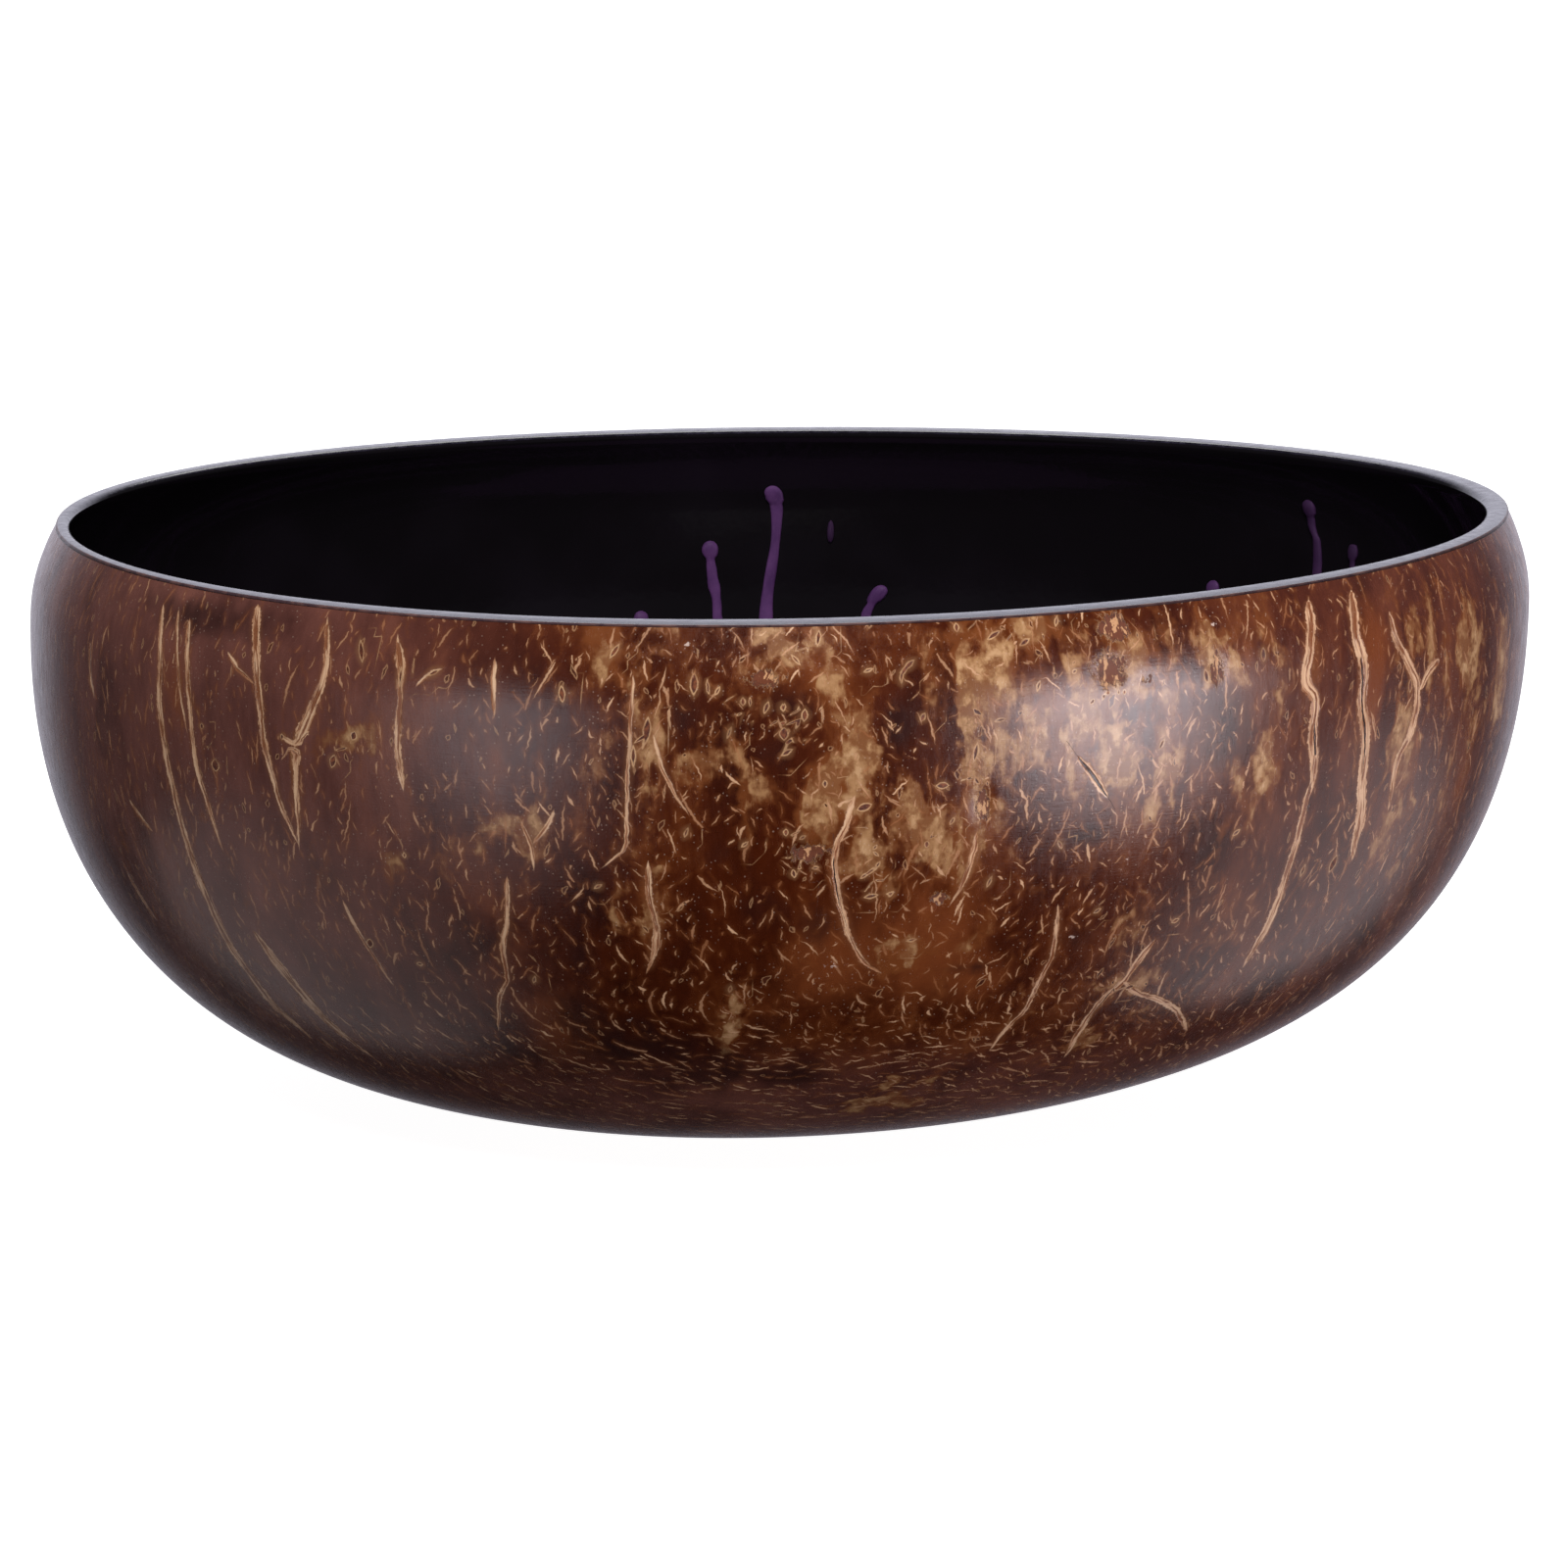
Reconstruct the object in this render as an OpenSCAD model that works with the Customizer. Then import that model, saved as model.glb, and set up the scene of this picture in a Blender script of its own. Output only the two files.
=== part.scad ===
// Bowl cut from one coconut: the ground shell, the black lacquer that coats its inside and rim,
// and the purple paint that was splashed into it.
// The bowl stands on its sanded base at z = 0, with the viewer's side towards -Y.

/* [Shell] */
// Radius of the shell at its widest ring
belly_r = 70; // [55:1:80]
// Height of the shell from the sanded base to the cut rim
bowl_h = 53.6; // [44:0.1:66]
// Distance of the widest ring below the rim
belly_drop = 8.4; // [4:0.1:14]
// Height above the widest ring at which the whole nut would have closed
crown_h = 32; // [28:0.5:60]
// Radius of the sanded flat base
base_r = 20; // [14:1:26]
// Fullness of the sides, 2 is an ellipse and more is squarer
side_fullness = 3.3; // [2.4:0.1:4]
// Fullness of the bottom, 2 is an ellipse and more is flatter
bottom_fullness = 2.25; // [1.9:0.05:2.6]
// How far the bottom has grown to the left of the widest ring
base_shift = 2.5; // [0:0.1:4]
// How far the rim has grown to the right of the base
rim_lean = 1.2; // [0:0.1:3]
// Slope of the cut rim in degrees, its right side is the high one
rim_tilt = 0.6; // [0:0.02:1]
// Depth of the nut's three lobes as a share of its radius
lobe_share = 0.022; // [0:0.002:0.03]
// Direction of the first lobe in degrees
lobe_turn = 263; // [0:1:360]

/* [Wall] */
// Wall thickness at the back
wall_back = 4.1; // [2.4:0.1:5]
// Wall thickness at the front
wall_front = 3.4; // [2.4:0.1:5]
// Wall thickness on the right
wall_right = 2.1; // [1.8:0.1:5]
// Wall thickness on the left
wall_left = 1.3; // [1.2:0.1:5]
// Thickness of the floor over the sanded base
floor_t = 4; // [3:0.1:6]
// Radius of the rim's eased inner edge
rim_round = 0.5; // [0.2:0.05:0.6]
// Radius of the rim's crisp outer edge
edge_round = 0.1; // [0.1:0.05:0.3]

/* [Lacquer] */
// Thickness of the black lacquer
coat_t = 0.2; // [0.15:0.05:0.4]
// How far the lacquer laps down the outside, below the rim's outer edge
lap_h = 0.05; // [0.05:0.05:1]

/* [Splash] */
// Thickness of the purple paint
paint_t = 0.35; // [0.2:0.05:0.6]
// Width of a run of paint
run_w = 1.3; // [0.8:0.1:2]
// Width of the round bead at the end of a run
bead_w = 1.9; // [1.2:0.1:3]
// Width of a loose droplet
drop_w = 1.5; // [0.8:0.1:2.4]

/* [Smoothness] */
// Facets round the bowl
segments = 72; // [36:12:72]
// Rings from the middle of the bottom to the widest ring
bowl_rings = 10; // [8:1:12]

/* [Hidden] */

overrun = 10;
belly_h = bowl_h - belly_drop;
// Depth below the widest ring at which the whole nut would have closed
nut_depth = belly_h / pow(1 - pow(base_r / belly_r, side_fullness), 1 / bottom_fullness);
// Arc on the outside at which the nut was sanded flat
base_arc = asin(pow(base_r / belly_r, side_fullness / 2));
thinnest_wall = min(min(wall_back, wall_front), min(wall_right, wall_left));
rim_r = min(rim_round, 0.35 * thinnest_wall);
shoulder_h = bowl_h - rim_r;
edge_h = bowl_h - edge_round;
lap_z = edge_h - lap_h;
// Share of its thickness that the lacquer keeps at the lap
lap_share = 0.3;

// Rings between the widest ring and the rim, and steps round each eased edge
crown_rings = 3;
edge_steps = 3;
inner_rings = bowl_rings + crown_rings;
seat_gap = coat_t / 10;

// Places up the inside are climb shares: 0 is the floor's middle, 1 the widest ring and 2 the shoulder
// just under the rim.
// Paint runs: their direction in degrees, the climb of their tops, and their width.
// The first seven stand on the back wall, and the rest go round the sides and the front.
run_turns = [90.2, 95.6, 80.2, 101.7, 49.2, 39.3, 34.2, 118, 141, 163, 187, 214, 243, 268, 297, 322, 349, 8];
run_climb_shares = [1.354, 0.97, 0.911, 0.875, 0.94, 1.481, 1.007, 0.72, 0.88, 1.2, 0.8, 1.05, 0.7, 0.9,
    1.3, 0.76, 0.97, 0.78];
run_width_shares = [1, 0.9, 0.95, 0.8, 0.8, 0.9, 0.75, 0.9, 1, 1.1, 0.8, 1, 0.9, 1, 1.15, 0.8, 1, 0.85];
// How far each run stands aside of its top on its way up, in degrees
run_strays = [0.5, -1.1, 1.4, 0.4, -0.3, -1, 0.2, 0.9, -1.2, 0.7, -0.8, 1.1, 0.5, -1, 1.2, -0.6, 0.8, -0.9];

// Loose droplets: their direction and climb
drop_turns = [84.9, 60, 130, 175, 230, 280, 310, 16];
drop_climb_shares = [0.981, 0.66, 0.86, 0.6, 0.9, 0.8, 0.6, 0.9];

// Climb of the pool's edge, its waves, and the tongue at the foot of each run, in degrees to each side
pool_edge_share = 0.12;
pool_wave_share = 0.008;
tongue_share = 0.018;
tongue_spread = 5;
pool_segments = 90;

function mix(a, b, share) = a + (b - a) * share;
function within(value, low, high) = max(low, min(high, value));

// Lobes of the nut's round section
function lobed(turn) = 1 + lobe_share * cos(3 * (turn - lobe_turn));

// Wall thickness in a direction
function wall_at(turn) =
    (wall_right + wall_left + wall_back + wall_front) / 4
    + (wall_right - wall_left) / 2 * cos(turn)
    + (wall_back - wall_front) / 2 * sin(turn)
    + (wall_right + wall_left - wall_back - wall_front) / 4 * cos(2 * turn);

// A point at radius r, height z and direction turn, on the nut as it grew and was cut
function place(r, z, turn) =
    let (
        depth_share = within((belly_h - z) / belly_h, 0, 1),
        shift = rim_lean * (z - belly_h) / belly_h - base_shift * pow(depth_share, 6),
        x = shift + r * lobed(turn) * cos(turn),
        y = r * lobed(turn) * sin(turn),
        rise_share = pow(within(z / bowl_h, 0, 1), 2)
    )
    [x, y, z + rise_share * x * tan(rim_tilt)];

// Radius of the outside above the widest ring
function crown_r(z) = belly_r * sqrt(1 - pow((z - belly_h) / crown_h, 2));

// Radius and height on the outside: arc 0 is the closed bottom and arc 90 the widest ring
function outer_low(arc) = [
    belly_r * pow(sin(arc), 2 / side_fullness),
    belly_h - nut_depth * pow(cos(arc), 2 / bottom_fullness)
];

// The same for the inside, where inset is what lies on the bare wood
function inner_low(arc, turn, inset) = [
    (belly_r - wall_at(turn) - inset) * pow(sin(arc), 2 / side_fullness),
    belly_h - (belly_h - floor_t - inset) * pow(cos(arc), 2 / bottom_fullness)
];

function inner_high(step, turn, inset) =
    let (z = mix(belly_h, shoulder_h, step / crown_rings))
    [crown_r(z) - wall_at(turn) - inset, z];

// Ring number of a climb share
function ring_of(climb) = climb <= 1 ? bowl_rings * climb : bowl_rings + crown_rings * (climb - 1);

// Profile point of a ring on the inside, counted from the middle of the floor to the shoulder
function inner_ring(ring, turn, inset) =
    ring <= bowl_rings
    ? inner_low(90 * ring / bowl_rings, turn, inset)
    : inner_high(ring - bowl_rings, turn, inset);

// The eased edges and the flat of the rim, from inside to outside
function rim_profile(turn, skin) =
    let (
        inner_centre = crown_r(shoulder_h) - wall_at(turn) + rim_r,
        outer_centre = crown_r(edge_h) - edge_round,
        inner_r = rim_r + skin
    )
    concat(
        [for (i = [1:edge_steps]) let (a = 90 * i / edge_steps)
            [inner_centre - inner_r * cos(a), shoulder_h + inner_r * sin(a)]],
        [for (i = [edge_steps:-1:0]) let (a = 90 * i / edge_steps)
            [outer_centre + (edge_round + skin * lap_share) * cos(a), edge_h + (edge_round + skin) * sin(a)]]
    );

// Profile of the bare shell in one direction, from the outside's closed bottom to the floor's middle
function shell_profile(turn) =
    let (rim = rim_profile(turn, 0))
    concat(
        [outer_low(0)],
        [for (i = [0:bowl_rings - 1]) outer_low(mix(base_arc, 90, i / (bowl_rings - 1)))],
        [for (i = [1:crown_rings - 1]) let (z = mix(belly_h, lap_z, i / (crown_rings - 1)))
            [crown_r(z), z]],
        [for (i = [len(rim) - 1:-1:0]) rim[i]],
        [for (i = [inner_rings:-1:0]) inner_ring(i, turn, 0)]
    );

// Profile of the lacquer, down the bare wood from the floor's middle over the rim to the lap, and back
function lacquer_profile(turn) =
    let (
        wood_rim = rim_profile(turn, 0),
        free_rim = rim_profile(turn, coat_t)
    )
    concat(
        [for (i = [0:inner_rings]) inner_ring(i, turn, 0)],
        wood_rim,
        [[crown_r(lap_z), lap_z]],
        [for (i = [len(free_rim) - 1:-1:0]) free_rim[i]],
        [for (i = [inner_rings:-1:0]) inner_ring(i, turn, coat_t)]
    );

// Closed solid from profiles round the bowl, whose first and last points lie on the axis
module lathed(profiles) {
    count = len(profiles);
    rows = len(profiles[0]) - 2;
    ends = [
        place(0, profiles[0][0][1], 0),
        place(0, profiles[0][rows + 1][1], 0)
    ];
    ring_points = [for (s = [0:count - 1]) for (i = [1:rows])
        place(profiles[s][i][0], profiles[s][i][1], 360 * s / count)];
    first = count * rows;
    last = first + 1;
    function at(s, i) = (s % count) * rows + i;
    faces = concat(
        [for (s = [0:count - 1]) [first, at(s, 0), at(s + 1, 0)]],
        [for (s = [0:count - 1]) for (i = [0:rows - 2]) [at(s, i), at(s, i + 1), at(s + 1, i + 1)]],
        [for (s = [0:count - 1]) for (i = [0:rows - 2]) [at(s, i), at(s + 1, i + 1), at(s + 1, i)]],
        [for (s = [0:count - 1]) [last, at(s + 1, rows - 1), at(s, rows - 1)]]
    );
    polyhedron(points = concat(ring_points, ends), faces = faces);
}

// A corner of the lacquer's facets, lifted off them by lift
function lacquer_corner(ring, segment, lift) =
    let (
        turn = 360 * segment / segments,
        flat_point = inner_ring(ring, turn, coat_t + lift)
    )
    place(flat_point[0], flat_point[1], turn);

// Any point on the lacquer's facets, so that paint lies on them as they are
function on_lacquer(ring, turn, lift) =
    let (
        low = min(floor(ring), inner_rings - 1),
        segment = turn * segments / 360,
        left = floor(segment),
        across = segment - left,
        lower = mix(lacquer_corner(low, left, lift), lacquer_corner(low, left + 1, lift), across),
        upper = mix(lacquer_corner(low + 1, left, lift), lacquer_corner(low + 1, left + 1, lift), across)
    )
    mix(lower, upper, ring - low);

// Distance of that point from the bowl's axis
function lacquer_r(ring, turn) = norm([for (i = [0:1]) on_lacquer(ring, turn, 0)[i]]);

// Edge of the pool, counted in rings, with a tongue at the foot of each run
function pool_edge(turn) =
    ring_of(
        pool_edge_share
        + pool_wave_share * (sin(5 * turn + 40) + sin(11 * turn))
        + tongue_share * max([for (t = run_turns)
            exp(-pow(((turn - t + 540) % 360 - 180) / tongue_spread, 2))])
    );

// Bead of paint through the given stations, each [ring, turn, half width, height]
module bead(stations) {
    count = len(stations);
    // Place across the bead and height of its corners, as shares of half width and height
    corner_shares = [[0, 0], [-1, 0], [-0.5, 1], [0.5, 1], [1, 0]];
    sides = len(corner_shares);
    points = [for (s = stations) for (c = corner_shares)
        on_lacquer(s[0], s[1] + c[0] * s[2] * 180 / (PI * lacquer_r(s[0], s[1])), seat_gap + c[1] * s[3])];
    function at(s, c) = s * sides + c % sides;
    faces = concat(
        [for (c = [1:sides - 2]) [at(0, 0), at(0, c), at(0, c + 1)]],
        [for (s = [0:count - 2]) for (c = [0:sides - 1]) [at(s, c), at(s + 1, c), at(s + 1, c + 1)]],
        [for (s = [0:count - 2]) for (c = [0:sides - 1]) [at(s, c), at(s + 1, c + 1), at(s, c + 1)]],
        [for (c = [1:sides - 2]) [at(count - 1, 0), at(count - 1, c + 1), at(count - 1, c)]]
    );
    polyhedron(points = points, faces = faces);
}

// One run: a thin trail from the pool up the wall to a round bead
module run(turn, climb, width_share, stray) {
    start = pool_edge(turn) + ring_of(tongue_share) / 8;
    top = ring_of(climb);
    half = run_w * width_share / 2;
    bulb = bead_w * width_share / 2;
    // Rings by which one bead width climbs the wall near its top
    bead_rings = bead_w / norm(on_lacquer(top, turn, 0) - on_lacquer(top - 1, turn, 0));
    neck = top - 1.6 * bead_rings;
    trail = [for (i = [ceil(start + 0.2):floor(neck - 0.1)]) i];
    stations = concat(
        [[start, turn + stray, half, paint_t * 0.6]],
        [for (ring = trail) [ring, turn + stray, half, paint_t * 0.7]],
        [
            [neck, turn + stray / 2, half, paint_t * 0.7],
            [top - 1.1 * bead_rings, turn, bulb * 0.85, paint_t * 0.9],
            [top - 0.6 * bead_rings, turn, bulb, paint_t],
            [top - 0.2 * bead_rings, turn, bulb * 0.75, paint_t * 0.9],
            [top, turn, bulb * 0.3, paint_t * 0.5]
        ]
    );
    bead(stations);
}

// One loose droplet, a little longer than wide
module droplet(turn, climb) {
    ring = ring_of(climb);
    half = drop_w / 2;
    step = half / norm(on_lacquer(ring + 1, turn, 0) - on_lacquer(ring, turn, 0));
    stations = [for (s = [-1.3, -0.8, 0, 0.7, 1.1])
        let (round_share = sqrt(max(0.06, 1 - pow(s / 1.35, 2))))
        [ring + s * step, turn, half * round_share, paint_t * round_share]];
    bead(stations);
}

module coconut_shell() {
    color("saddlebrown")
    difference() {
        lathed([for (s = [0:segments - 1]) shell_profile(360 * s / segments)]);
        translate([-belly_r - overrun, -belly_r - overrun, -overrun])
            cube([2 * (belly_r + overrun), 2 * (belly_r + overrun), overrun]);
    }
}

module black_lacquer() {
    color([0.04, 0.03, 0.05])
    lathed([for (s = [0:segments - 1]) lacquer_profile(360 * s / segments)]);
}

// The pool in the middle of the floor, a thin disc with a wavy edge
module paint_pool() {
    // Rows from the middle outwards: share of the way to the edge and height over the lacquer
    row_shares = [[1 / 3, 1], [2 / 3, 1], [0.93, 0.9], [1, 0], [2 / 3, 0], [1 / 3, 0]];
    rows = len(row_shares);
    count = pool_segments;
    ring_points = [for (s = [0:count - 1]) let (turn = 360 * s / count) for (r = row_shares)
        on_lacquer(r[0] * pool_edge(turn), turn, seat_gap + r[1] * paint_t)];
    ends = [on_lacquer(0, 0, seat_gap + paint_t), on_lacquer(0, 0, seat_gap)];
    first = count * rows;
    last = first + 1;
    function at(s, i) = (s % count) * rows + i;
    faces = concat(
        [for (s = [0:count - 1]) [first, at(s + 1, 0), at(s, 0)]],
        [for (s = [0:count - 1]) for (i = [0:rows - 2]) [at(s, i), at(s + 1, i + 1), at(s, i + 1)]],
        [for (s = [0:count - 1]) for (i = [0:rows - 2]) [at(s, i), at(s + 1, i), at(s + 1, i + 1)]],
        [for (s = [0:count - 1]) [last, at(s, rows - 1), at(s + 1, rows - 1)]]
    );
    color([0.34, 0.2, 0.42])
    polyhedron(points = concat(ring_points, ends), faces = faces);
}

module paint_runs() {
    color([0.34, 0.2, 0.42])
    for (i = [0:len(run_turns) - 1])
        run(run_turns[i], run_climb_shares[i], run_width_shares[i], run_strays[i]);
}

module paint_droplets() {
    color([0.34, 0.2, 0.42])
    for (i = [0:len(drop_turns) - 1]) droplet(drop_turns[i], drop_climb_shares[i]);
}

coconut_shell();
black_lacquer();
paint_pool();
paint_runs();
paint_droplets();
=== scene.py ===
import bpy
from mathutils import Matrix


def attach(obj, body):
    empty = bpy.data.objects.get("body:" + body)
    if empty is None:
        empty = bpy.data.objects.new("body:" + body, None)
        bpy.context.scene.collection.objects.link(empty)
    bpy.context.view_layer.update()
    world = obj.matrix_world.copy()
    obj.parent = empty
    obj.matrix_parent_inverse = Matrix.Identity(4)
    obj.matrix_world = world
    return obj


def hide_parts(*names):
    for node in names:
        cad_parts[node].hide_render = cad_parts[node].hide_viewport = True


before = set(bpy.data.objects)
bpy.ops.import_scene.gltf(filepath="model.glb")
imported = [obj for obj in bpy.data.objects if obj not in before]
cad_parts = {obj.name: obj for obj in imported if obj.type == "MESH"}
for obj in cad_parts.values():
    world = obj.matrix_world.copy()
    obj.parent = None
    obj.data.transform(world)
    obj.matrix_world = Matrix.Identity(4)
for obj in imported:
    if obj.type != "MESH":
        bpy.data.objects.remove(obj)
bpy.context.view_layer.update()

import math
import bpy
import numpy as np
from mathutils import Vector
from mathutils.bvhtree import BVHTree

# Lengths below are in millimetres, as in the CAD source, and meshes are made in metres.
MM = 0.001
random = np.random.default_rng(20)

# The nut, with the same sizes as the CAD source
belly_r = 70.0
bowl_h = 53.6
belly_drop = 8.4
crown_h = 32.0
base_r = 20.0
side_fullness = 3.3
bottom_fullness = 2.25
base_shift = 2.5
rim_lean = 1.2
rim_tilt = math.radians(0.6)
lobe_share = 0.022
lobe_turn = math.radians(263)
wall_back = 4.1
wall_front = 3.4
wall_right = 2.1
wall_left = 1.3
floor_t = 4.0
rim_round = 0.5
edge_round = 0.1
coat_t = 0.2
lap_h = 0.05
lap_share = 0.3
paint_t = 0.35
run_w = 1.3
bead_w = 1.9
drop_w = 1.5

belly_h = bowl_h - belly_drop
nut_depth = belly_h / (1 - (base_r / belly_r) ** side_fullness) ** (1 / bottom_fullness)
base_arc = math.asin((base_r / belly_r) ** (side_fullness / 2))
rim_r = min(rim_round, 0.35 * min(wall_back, wall_front, wall_right, wall_left))
shoulder_h = bowl_h - rim_r
edge_h = bowl_h - edge_round
lap_z = edge_h - lap_h
seat_gap = coat_t / 10
# Rings of the CAD source, in which the paint's places are counted
bowl_rings = 10
crown_rings = 3

# The fine meshes keep this far inside the facets of the CAD source, and this far below its rim
inside_gap = 0.03
rim_gap = inside_gap / 5
# The base's last two rows lie this far inside its edge
base_edge_gaps = (0.8, 0.3)
# The rim's face is crowned: its fall, and its highest place and its rows across, in parts of its width
crown_fall = 0.085
crown_place = 0.3
rim_shares = (0.06, 0.2, 0.35, 0.5, 0.65, 0.8, 0.94)

# How fine the meshes are round the bowl, and the rows of their parts
SEGMENTS = 576
BASE_ROWS = 7
SIDE_ROWS = 96
CROWN_ROWS = 13
FLOOR_ROWS = 72
WALL_ROWS = 12
RIM_STEPS = 6
HIDDEN_RIM_STEPS = 3
HIDDEN_WALL_ROWS = 4
HIDDEN_FLOOR_ROWS = 12
PROFILE_STEPS = 3000
turns = np.linspace(0, 2 * math.pi, SEGMENTS, endpoint=False)


def lobed(turn):
    return 1 + lobe_share * np.cos(3 * (turn - lobe_turn))


def wall_at(turn):
    return (
        (wall_right + wall_left + wall_back + wall_front) / 4
        + (wall_right - wall_left) / 2 * np.cos(turn)
        + (wall_back - wall_front) / 2 * np.sin(turn)
        + (wall_right + wall_left - wall_back - wall_front) / 4 * np.cos(2 * turn)
    )


def shift_at(z):
    """How far the nut's middle lies to the right at a height."""
    depth_share = np.clip((belly_h - z) / belly_h, 0, 1)
    return rim_lean * (z - belly_h) / belly_h - base_shift * depth_share**6


def place(r, z, turn):
    """Points at radius r, height z and direction turn on the nut as it grew and was cut."""
    r, z, turn = np.broadcast_arrays(r, z, turn)
    x = shift_at(z) + r * lobed(turn) * np.cos(turn)
    y = r * lobed(turn) * np.sin(turn)
    rise_share = np.clip(z / bowl_h, 0, 1) ** 2
    return np.stack([x, y, z + rise_share * x * math.tan(rim_tilt)], axis=-1)


def crown_r(z):
    return belly_r * np.sqrt(1 - ((z - belly_h) / crown_h) ** 2)


def outer_low(arc):
    r = belly_r * np.sin(arc) ** (2 / side_fullness)
    return r, belly_h - nut_depth * np.clip(np.cos(arc), 0, 1) ** (2 / bottom_fullness)


def inner_low(arc, turn, inset):
    r = (belly_r - wall_at(turn) - inset) * np.sin(arc) ** (2 / side_fullness)
    z = belly_h - (belly_h - floor_t - inset) * np.clip(np.cos(arc), 0, 1) ** (2 / bottom_fullness)
    return r, z


def even_arcs(profile, start, end, count):
    """Arcs between start and end that divide the profile into steps of equal length."""
    fine = np.linspace(start, end, PROFILE_STEPS)
    r, z = profile(fine)
    length = np.concatenate([[0], np.cumsum(np.hypot(np.diff(r), np.diff(z)))])
    return np.interp(np.linspace(0, length[-1], count), length, fine)


def rim_rows(skin, steps):
    """Rows of the rim from the inner eased edge to the crisp outer one."""
    inner_centre = crown_r(shoulder_h) - wall_at(turns) + rim_r
    outer_centre = crown_r(edge_h) - edge_round
    width = outer_centre - inner_centre
    crown = crown_fall * width if skin else 0

    def top(share):
        return bowl_h + skin - rim_gap - crown * (share - crown_place) ** 2

    rows = []
    for a in np.linspace(0, math.pi / 2, steps)[1:]:
        r = inner_centre - (rim_r + skin) * math.cos(a)
        rows.append((r, shoulder_h + (top(0) - shoulder_h) * math.sin(a)))
    for share in rim_shares:
        rows.append((inner_centre + width * share, top(share)))
    for a in np.linspace(math.pi / 2, 0, steps):
        r = outer_centre + (edge_round + skin * lap_share) * math.cos(a)
        rows.append((r, edge_h + (top(1) - edge_h) * math.sin(a)))
    return rows


def hidden_rows():
    """Rows of the face where shell and lacquer meet, from the rim's outer edge to the floor."""
    rows = rim_rows(0.0, HIDDEN_RIM_STEPS)[::-1]
    for z in np.linspace(shoulder_h, belly_h, HIDDEN_WALL_ROWS):
        rows.append((crown_r(z) - wall_at(turns), z))
    for arc in np.linspace(math.pi / 2, 0, HIDDEN_FLOOR_ROWS)[1:-1]:
        rows.append(inner_low(arc, turns, 0))
    return rows


def mesh_object(name, points_mm, faces):
    """A smooth mesh object from points in millimetres."""
    mesh = bpy.data.meshes.new(name)
    mesh.from_pydata((np.asarray(points_mm) * MM).tolist(), [], faces)
    mesh.update()
    mesh.shade_smooth()
    obj = bpy.data.objects.new(name, mesh)
    bpy.context.scene.collection.objects.link(obj)
    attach(obj, "root")
    return obj


def faces_between(rows, sides, start=0):
    """Faces between rows of points that run round a form."""
    faces = []
    for a in range(start, start + (rows - 1) * sides, sides):
        for s in range(sides):
            t = (s + 1) % sides
            faces.append((a + s, a + t, a + sides + t, a + sides + s))
    return faces


def closed_form(name, grid, first, last):
    """A mesh of rows of points round the bowl, closed by a point at each end."""
    rows, sides = grid.shape[:2]
    faces = faces_between(rows, sides)
    for s in range(sides):
        t = (s + 1) % sides
        faces.append((rows * sides, t, s))
        faces.append((rows * sides + 1, (rows - 1) * sides + s, (rows - 1) * sides + t))
    return mesh_object(name, np.concatenate([grid.reshape(-1, 3), [first, last]]), faces)


def lathed(name, first_z, rows, last_z):
    """A closed mesh of rows of radius and height round the bowl, between two heights on its axis."""
    grid = np.stack([place(r, z, turns) for r, z in rows])
    return closed_form(name, grid, place(0.0, first_z, 0.0), place(0.0, last_z, 0.0))


# The shell: base, side and crown outside, then the hidden rim and inside under the lacquer
shell_rows = [(r, 0.0) for r in np.linspace(0, base_r - base_edge_gaps[0], BASE_ROWS)[1:]]
shell_rows.append((base_r - base_edge_gaps[1], 0.0))
for arc in even_arcs(outer_low, base_arc, math.pi / 2, SIDE_ROWS):
    r, z = outer_low(arc)
    shell_rows.append((r, max(z, 0.0)))
for z in np.linspace(belly_h, lap_z, CROWN_ROWS)[1:]:
    shell_rows.append((crown_r(z), z))
outside_rows = len(shell_rows)
shell_rows += hidden_rows()
shell = lathed("ground_shell", 0.0, shell_rows, floor_t)
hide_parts("coconut_shell")

# The lacquer: its free face inside, the rim and the lap, then the hidden face against the shell
lacquer_rows = []
for arc in even_arcs(lambda arc: inner_low(arc, 0.0, coat_t), 0, math.pi / 2, FLOOR_ROWS)[1:]:
    lacquer_rows.append(inner_low(arc, turns, coat_t))
for z in np.linspace(belly_h, shoulder_h, WALL_ROWS)[1:]:
    lacquer_rows.append((crown_r(z) - wall_at(turns) - coat_t, z))
rim_start = len(lacquer_rows)
lacquer_rows += rim_rows(coat_t, RIM_STEPS)
edge_end = len(lacquer_rows)
edge_start = edge_end - RIM_STEPS
lacquer_rows.append((crown_r(lap_z), lap_z))
lacquer_rows += hidden_rows()
lacquer = lathed("lacquer_skin", floor_t + coat_t, lacquer_rows, floor_t)
lacquer.data.flip_normals()
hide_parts("black_lacquer")

# Camera at the photograph's viewing angle, in pixels of its 1600 by 1600 frame
CAMERA_TILT = math.radians(9.466)
CAMERA_DISTANCE = 900.0
FOCAL_PIXELS = 9813.0
MIDDLE_U = 789.8
MIDDLE_V = 817.2
PIXELS = 1600
look_at = np.array([0.0, 0.0, 26.8])
forward = np.array([0.0, math.cos(CAMERA_TILT), -math.sin(CAMERA_TILT)])
right = np.array([1.0, 0.0, 0.0])
upward = np.array([0.0, math.sin(CAMERA_TILT), math.cos(CAMERA_TILT)])
eye = look_at - forward * CAMERA_DISTANCE


def ray_to(u, v):
    """Direction from the camera through a pixel of the photograph."""
    ray = forward + right * (u - MIDDLE_U) / FOCAL_PIXELS + upward * (MIDDLE_V - v) / FOCAL_PIXELS
    return ray / np.linalg.norm(ray)


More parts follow.
